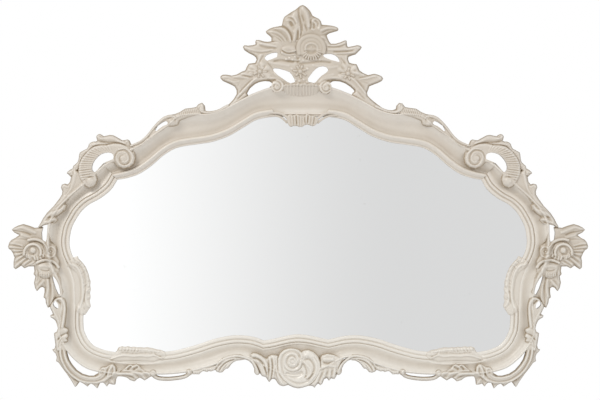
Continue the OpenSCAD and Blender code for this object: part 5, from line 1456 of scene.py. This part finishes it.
# Loop scrolls
# A thin band with a bulb at each end that bridges the gap under the bottom rail. It is sawn
# and carved in lime, and glued at both bulbs.
def loop_scroll(side, hand):
    c = Carving(side, pitch=0.8)
    c.stroke([(-309, -371, 3.8, -2), (-303, -378, 3.8, -1), (-296, -381.5, 3.8, -1),
              (-288, -382.8, 3.8, -1), (-273, -383.2, 3.8, -1), (-256, -381.6, 3.8, -1),
              (-244, -379.4, 3.8, -1), (-236, -376, 4, -1), (-230, -370, 4.4, -1)], edge=0.6)
    c.swell([(-303, -375.5), (-296, -379), (-288, -380.4), (-273, -380.8), (-256, -379.4),
             (-244, -377)], [2, 2.2, 2.2, 2.2, 2.2, 2], 1.6)
    c.boss(-306.5, -371, 7.6, 3, edge=0.6)
    c.boss(-230.5, -368.5, 7, 3, edge=0.6)
    c.swell([(-313, -366), (-307, -364), (-302, -368)], [2.4, 2.6, 2.2], 1.8)
    c.groove([(-314, -372), (-308, -369), (-303, -372)], 1.0, 1.8)
    c.swell([(-234, -363), (-231, -368), (-232, -375)], [2.2, 2.6, 2.4], 1.6)
    c.groove([(-228, -362), (-226.5, -368), (-229, -375)], 0.9, 1.4)
    c.groove([(-237, -364), (-236, -370), (-238, -375)], 0.9, 1.2)
    c.build("loop_scroll_" + hand, rail_tree, over=1.2)


both(loop_scroll)


# Arch combs
# Crumpled flutes on the rail's edge, then a thick ridged leaf that climbs the arch. They are
# one piece of lime, glued under the rail.
def arch_comb(side, hand):
    c = Carving(side, pitch=0.8, wash_and_shade=0.7)
    bend = 0 if side < 0 else -9
    tail = [(x + bend, z) for x, z in [(-113.5, -342), (-105.5, -345), (-98, -352.5),
            (-94, -362), (-94, -369.5), (-90.5, -374), (-86, -375), (-81.5, -371),
            (-83.5, -363.5), (-88.5, -352.5), (-96, -344), (-105.5, -338), (-113.5, -335)]]
    c.ground([
        (-224, -373.5), (-217, -373), (-210, -373.5), (-207, -370.5), (-203.5, -367.5),
        (-200.5, -366.5), (-193, -368.5), (-189.5, -366.5), (-185, -367.5), (-178.5, -365),
        (-175.5, -364.5), (-172, -357.5), (-171.5, -352.5), (-176, -354), (-183.5, -356),
        (-192, -357.5), (-198, -358), (-202.5, -359.5), (-207.5, -362.5), (-215, -364),
        (-222.5, -364.5)], -1, edge=0.5, roll=3.5)
    c.groove([(-223, -365.5), (-215, -365.5), (-207.5, -364), (-202, -360.5), (-195.5, -359.5),
              (-189.5, -359), (-181, -357), (-173, -353.5)], 1.0, 2.0)
    for line in ([(-218, -368), (-218, -372.5)], [(-213.5, -368.5), (-213, -372.5)],
                 [(-208.5, -367.5), (-208, -372)], [(-201.5, -363), (-200.5, -366.5)],
                 [(-197, -362.5), (-196.5, -367)], [(-192, -362), (-191.5, -367.5)],
                 [(-187.5, -361.5), (-187, -366)], [(-183, -360), (-182, -365)],
                 [(-178.5, -358.5), (-177.5, -364)]):
        c.groove(line, 1.1, 2.2, fine=1)
    c.ground([(-176, -363.5), (-173, -368), (-166.5, -370), (-160.5, -369), (-157, -365),
              (-153.5, -361.5), (-149.5, -361.5), (-146, -357.5), (-142.5, -352.5),
              (-137.5, -348), (-130.5, -344.5), (-123, -344)] + tail + [(-123, -331),
               (-135, -331), (-147.5, -333), (-159.5, -337.5), (-167, -344), (-171.5, -349),
               (-174.5, -355)], -2, edge=0.55, roll=4)
    ridge = [(x + bend, z) for x, z in [(-105.5, -341.5), (-96, -349), (-89.5, -359.5),
             (-86, -368.5)]]
    c.swell([(-173, -357.5), (-167.5, -348.5), (-159.5, -341.5), (-147.5, -336.5),
             (-129, -334.5)] + ridge, [3, 3.6, 3.8, 3.8, 3.8, 3.8, 3.8, 3.6, 3], 2.8)
    c.swell([(-171.5, -365.5), (-167.5, -358), (-160.5, -350.5), (-149, -343.5), (-137, -340.5),
             (-124.5, -340.5)], [2.6, 3, 3, 3, 2.6, 2], 2.0)
    c.swell([(-165, -367.5), (-161, -361), (-154, -353.5), (-144, -347), (-133, -343.5)],
            [2.4, 2.8, 2.8, 2.6, 2], 1.8)
    c.swell([(-158, -365.5), (-153.5, -358), (-147, -352), (-138.5, -346.5)], [2.4, 2.6, 2.4, 2],
            1.6)
    under = [(x + bend, z) for x, z in [(-108, -344), (-99.5, -352), (-93.5, -362.5),
             (-91.5, -370.5)]]
    c.groove([(-174, -362.5), (-170.5, -355.5), (-164, -347.5), (-153.5, -341.5),
              (-137.5, -337.5), (-123, -338)] + under, 1.1, 2.6)
    c.groove([(-168, -368), (-164.5, -359.5), (-157.5, -351.5), (-147, -345), (-135, -342)], 1.0,
             2.0)
    c.groove([(-161, -367.5), (-157, -359.5), (-150.5, -352), (-141, -346.5)], 1.0, 1.8)
    c.build("arch_comb_" + hand, rail_tree, over=1.2)


both(arch_comb)


# Apron leaves
# Ridged leaves that hang under the apron rail, one group on each side of the cartouche. Each
# group is carved from one piece of lime and glued on.
left_leaf = Carving(0, pitch=0.8, wash_and_shade=1.0)
left_leaf.ground([
    (-105.5, -338), (-102, -331), (-96, -326.5), (-86.5, -328.5), (-78.5, -332.5), (-73, -336.5),
    (-68, -339), (-64, -334), (-57, -331), (-49, -332), (-42.5, -334), (-42, -347.5),
    (-40.5, -360.5), (-35.5, -374), (-27.5, -385), (-19.5, -392), (-24.5, -396.5), (-33, -398.5),
    (-40.5, -396.5), (-45, -392), (-49, -385), (-53, -383), (-57, -383.5), (-60.5, -387.5),
    (-62.5, -390), (-65, -387), (-67, -383.5), (-70.5, -379), (-77.5, -377.5), (-81.5, -372),
    (-85, -364.5), (-89.5, -355.5), (-96, -347.5)], 0, edge=0.4, roll=6)
left_leaf.swell([(-99.5, -333.5), (-90.5, -333.5), (-81.5, -337.5), (-73, -345), (-68, -355.5),
                 (-67, -366)], [5, 5.5, 5.5, 5, 4.5, 3.5], 3.2)
left_leaf.groove([(-99, -339), (-88.5, -340), (-80, -345.5), (-74, -354.5), (-69.5, -366),
                  (-67.5, -377)], 1.2, 2.6)
left_leaf.swell([(-100.5, -335.5), (-100.5, -336)], [4, 4], -1.4)
left_leaf.swell([(-86, -345.5), (-79.5, -356), (-74, -367), (-70.5, -377)], [3, 4, 4, 3], 1.8)
left_leaf.swell([(-61, -339.5), (-59.5, -352.5), (-60, -367.5), (-62, -385.5)], [3, 3.6, 3.6, 2.4],
                2.4)
left_leaf.swell([(-53.5, -338), (-51.5, -355.5), (-53, -368.5), (-55.5, -381)],
                [3.4, 3.8, 3.6, 2.8], 2.0)
left_leaf.swell([(-49, -355.5), (-46, -371.5), (-38.5, -386), (-33, -396)], [3, 4, 4, 3], 2.2)
left_leaf.groove([(-65.5, -341), (-63.5, -355.5), (-63.5, -371.5), (-65.5, -383.5)], 1.1, 1.8)
left_leaf.groove([(-57.5, -339.5), (-55.5, -355.5), (-56.5, -371.5), (-59, -383)], 1.1, 1.7)
left_leaf.groove([(-50, -350), (-49.5, -363.5), (-46, -379.5), (-40.5, -393)], 1.1, 1.6)
left_leaf.groove([(-83, -350), (-77, -362), (-73, -373)], 0.9, 1.2)
left_leaf.build("apron_leaf_left", rail_tree, over=1.4)
right_leaf = Carving(0, pitch=0.8, wash_and_shade=1.0)
right_leaf.ground([
    (43.5, -338), (48, -332), (59.5, -329), (74, -331.5), (80, -334), (90, -336.5), (94, -342.5),
    (89, -351.5), (85, -360.5), (83.5, -370), (79.5, -372), (78.5, -377), (74.5, -383.5),
    (70, -382.5), (66.5, -382), (65, -385), (62.5, -387), (60.5, -383.5), (58, -381.5),
    (52.5, -384), (50.5, -389.5), (49, -393), (47, -395), (44.5, -396.5), (42, -394), (40, -393),
    (36.5, -396), (34.5, -399), (32.5, -402), (30.5, -399.5), (28, -398), (19, -398), (27, -387.5),
    (36.5, -374), (42.5, -355.5)], 0, edge=0.4, roll=6)
right_leaf.swell([(54, -341), (70, -342)], [6.5, 6], 3.0)
right_leaf.swell([(48.5, -337.5), (59.5, -332), (73.5, -334)], [2.4, 2.8, 2.4], 2.0)
right_leaf.groove([(49, -347.5), (60.5, -350.5), (75, -346.5)], 1.6, 2.6)
right_leaf.swell([(48, -358), (60.5, -355), (75.5, -356.5)], [5, 5.5, 4.5], 2.2)
for line in ([(44.5, -367.5), (38, -383.5), (33, -400)], [(55.5, -364.5), (50.5, -381), (45, -395)],
             [(65, -364), (64, -375), (63, -385.5)],
             [(74.5, -362.5), (74.5, -373.5), (74.5, -382.5)]):
    right_leaf.swell(line, [4.4, 4.2, 2.6], 1.8)
for line in ([(50.5, -367.5), (43.5, -383), (39.5, -393.5)], [(60.5, -366), (57, -377), (53, -384)],
             [(70, -363.5), (68.5, -374), (67, -381.5)], [(79, -359.5), (79, -367.5), (78, -376)]):
    right_leaf.groove(line, 1.1, 1.6)
right_leaf.build("apron_leaf_right", rail_tree, over=1.4)


# Apron cartouche
# A broad soft ring that winds into a spiral on the left and a comma-shaped lobe on the right.
# It is carved from one block of lime and glued over the leaves.
cartouche = Carving(0, pitch=0.8, wash_and_shade=0.5)
cartouche.ground([
    (-46.5, -355.5), (-46, -340.5), (-41.5, -329.5), (-33, -321.5), (-22.5, -318), (-11.5, -318),
    (-1, -320.5), (5, -325), (10, -322), (20.5, -321), (31, -325), (41, -335), (46.5, -347.5),
    (48, -360.5), (45, -373), (37, -383.5), (29, -392), (20.5, -397.5), (7, -401.5), (-2, -403),
    (-11.5, -401), (-22.5, -396), (-33, -388), (-41.5, -377), (-46, -366)], 1.6, edge=0.5, roll=8)
cartouche.swell([(6, -338), (2, -327.5), (-7.5, -321.5), (-19.5, -320.5), (-31.5, -325),
                 (-40.5, -335.5), (-43.5, -347.5), (-42.5, -362), (-37.5, -375), (-27.5, -387),
                 (-14.5, -396), (0.5, -399), (15, -396.5), (28.5, -388.5), (38, -377),
                 (43, -363.5), (42.5, -350), (37, -338), (27, -328), (16.5, -324),
                 (8.5, -327)], [3] * 4 + [3.4] * 14 + [3] * 3, 2.2)
cartouche.groove([(2, -338), (-2, -329.5), (-12.5, -324.5), (-23.5, -326.5), (-33, -334),
                  (-37, -346), (-36, -360.5), (-31.5, -373), (-22.5, -383), (-10.5, -390),
                  (3, -392.5), (16, -388.5), (24.5, -382)], 2.2, 2.0)
# raised disc with the spiral
cartouche.swell([(-14.5, -346), (-13, -346)], [23, 23], 3.4)
cartouche.swell([(-1.5, -344.5), (-3.5, -334.5), (-11.5, -329.5), (-21, -331), (-28, -337.5),
                 (-31, -347.5), (-29, -357), (-21.5, -363.5), (-11, -365), (-2, -361), (3, -353.5),
                 (4.5, -344.5)], [2.2, 2.4, 2.4, 2.6, 2.6, 2.6, 2.8, 2.8, 3, 3, 3, 2.6], 2.0)
cartouche.groove([(-6, -340), (-11.5, -334.5), (-19.5, -335), (-24.5, -341), (-25.5, -350.5),
                  (-20.5, -357.5), (-12, -360), (-4, -355.5), (-0.5, -348)], 1.3, 2.2)
cartouche.swell([(-8, -343.5), (-11.5, -339), (-17.5, -339), (-21, -344), (-19.5, -351),
                 (-13.5, -354.5), (-7.5, -352), (-5, -346)], [1.8] * 8, 1.6)
cartouche.groove([(-10.5, -344.5), (-13, -341.5), (-16.5, -343.5), (-17, -348), (-13.5, -350.5),
                  (-10.5, -348.5)], 0.9, 1.4)
cartouche.groove([(-31, -355.5), (-26, -363), (-15.5, -367.5), (-3.5, -365), (4.5, -358),
                  (7.5, -350)], 1.4, 1.8)
# smooth hollow under the spiral
cartouche.swell([(-23.5, -373), (-9, -376), (4.5, -370.5)], [8, 10, 8], -3.6)
# comma lobe, its tail and the folds beside it
cartouche.swell([(14, -333.5), (20.5, -331.5), (27.5, -337)], [7, 8, 7], 3.4)
cartouche.swell([(31.5, -342), (36.5, -352.5), (37, -364), (32.5, -375.5), (23, -386)],
                [4, 4.4, 4.4, 4.4, 4], 2.2)
cartouche.groove([(10.5, -343), (20.5, -341.5), (28, -348.5), (31.5, -358.5), (29.5, -370),
                  (23, -379.5), (15, -384.5)], 1.6, 2.4)
cartouche.swell([(11, -348), (19, -356), (24.5, -365), (23, -374), (16, -381.5)],
                [3, 3.4, 3.6, 3.4, 2.6], 2.2)
cartouche.groove([(8, -350), (14, -360.5), (16, -371.5), (12, -381.5)], 1.6, 2.6)
cartouche.build("apron_cartouche", rail_tree, over=1.6)


# Hangers
# A strap of zinc-plated steel, folded round the bar of a D-ring, is screwed to each top rail.
# The ring swings from hanging down to standing up.
for hand in ("left", "right"):
    dress(nodes["hanger_strap_" + hand], zinc)
    dress(nodes["hanger_ring_" + hand], zinc)
dress(nodes["hanger_screws"], zinc)


# Brace and bumpers
# A beech batten, let into the top rails and screwed on, stiffens the crest. Two rubber discs
# keep the lower edge off the wall.
dress(nodes["crest_brace"], beech)
dress(nodes["brace_screws"], zinc)
rubber, shader = new_material("rubber")
dust = noise(300.0, 4.0)
feed(shader, Base_Color=dust.between(0.4, 0.7).mix((0.03, 0.03, 0.032, 1), (0.07, 0.07, 0.07, 1)),
     Roughness=dust * 0.3 + 0.6, Normal=bump(dust, 0.0001, 0.5))
dress(nodes["wall_bumpers"], rubber)


# Stage
# A pale floor, a soft lamp from the upper left, a weaker one from the right, and a bright
# card that only the glass mirrors.
bpy.ops.mesh.primitive_plane_add(size=6.0, location=(0, 0, -0.80))
floor = bpy.context.object
floor.name = "floor"
pale, shader = new_material("pale_floor")
feed(shader, Base_Color=(0.86, 0.86, 0.86, 1), Roughness=0.6)
floor.data.materials.append(pale)

world = bpy.data.worlds.new("studio")
bpy.context.scene.world = world
world.use_nodes = True
Shade.tree = world.node_tree
background = world.node_tree.nodes["Background"]
seen = Shade.node("ShaderNodeLightPath", out="Is Camera Ray")
feed(background, Color=seen.mix((0.80, 0.81, 0.83, 1), (1, 1, 1, 1)),
     Strength=seen * 0.30 + 0.70)


def lamp(name, place, target, size, power, colour=(1, 1, 1)):
    data = bpy.data.lights.new(name, "AREA")
    data.shape = "RECTANGLE"
    data.size, data.size_y = size
    data.energy = power
    data.color = colour
    obj = bpy.data.objects.new(name, data)
    bpy.context.collection.objects.link(obj)
    obj.location = place
    obj.rotation_euler = (Vector(target) - Vector(place)).to_track_quat("-Z", "Y").to_euler()
    return obj


lamp("key", (-2.2, -2.6, 2.6), (0, 0, 0), (1.6, 1.2), 68, (1.0, 0.985, 0.96))
lamp("fill", (2.6, -3.0, 0.6), (0, 0, 0), (2.0, 1.6), 27, (0.98, 0.985, 1.0))

bpy.ops.mesh.primitive_plane_add(size=1.0, location=(0, -8.0, 0), rotation=(math.pi / 2, 0, 0))
card = bpy.context.object
card.name = "bright_card"
card.scale = (4.6, 3.4, 1)
glow = bpy.data.materials.new("card_glow")
glow.use_nodes = True
Shade.tree = glow.node_tree
glow.node_tree.nodes.clear()
across = Shade.node("ShaderNodeSeparateXYZ", {0: object_coordinates()}, out=0)
fall = across.between(-0.30, 0.12)
emission = glow.node_tree.nodes.new("ShaderNodeEmission")
output = glow.node_tree.nodes.new("ShaderNodeOutputMaterial")
glow.node_tree.links.new(emission.outputs[0], output.inputs[0])
Shade.tree.links.new(fall.mix((1.15, 1.15, 1.15, 1), (0.745, 0.745, 0.745, 1)).socket,
                     emission.inputs[0])
card.data.materials.append(glow)
for ray in ("camera", "diffuse", "shadow", "transmission", "volume_scatter"):
    setattr(card, "visible_" + ray, False)

# the frame's origin in the photograph, in pixels, and the size of a pixel in metres
ORIGIN = (299, 196.5)
PIXEL = 0.0021
eye = bpy.data.cameras.new("camera")
eye.lens = 170.8
eye.sensor_width = 36
eye.clip_end = 60
camera = bpy.data.objects.new("camera", eye)
bpy.context.collection.objects.link(camera)
camera.location = ((300 - ORIGIN[0]) * PIXEL, -6.0, (ORIGIN[1] - 200) * PIXEL)
camera.rotation_euler = (math.pi / 2, 0, 0)
bpy.context.scene.camera = camera
bpy.context.scene.view_settings.view_transform = "Standard"
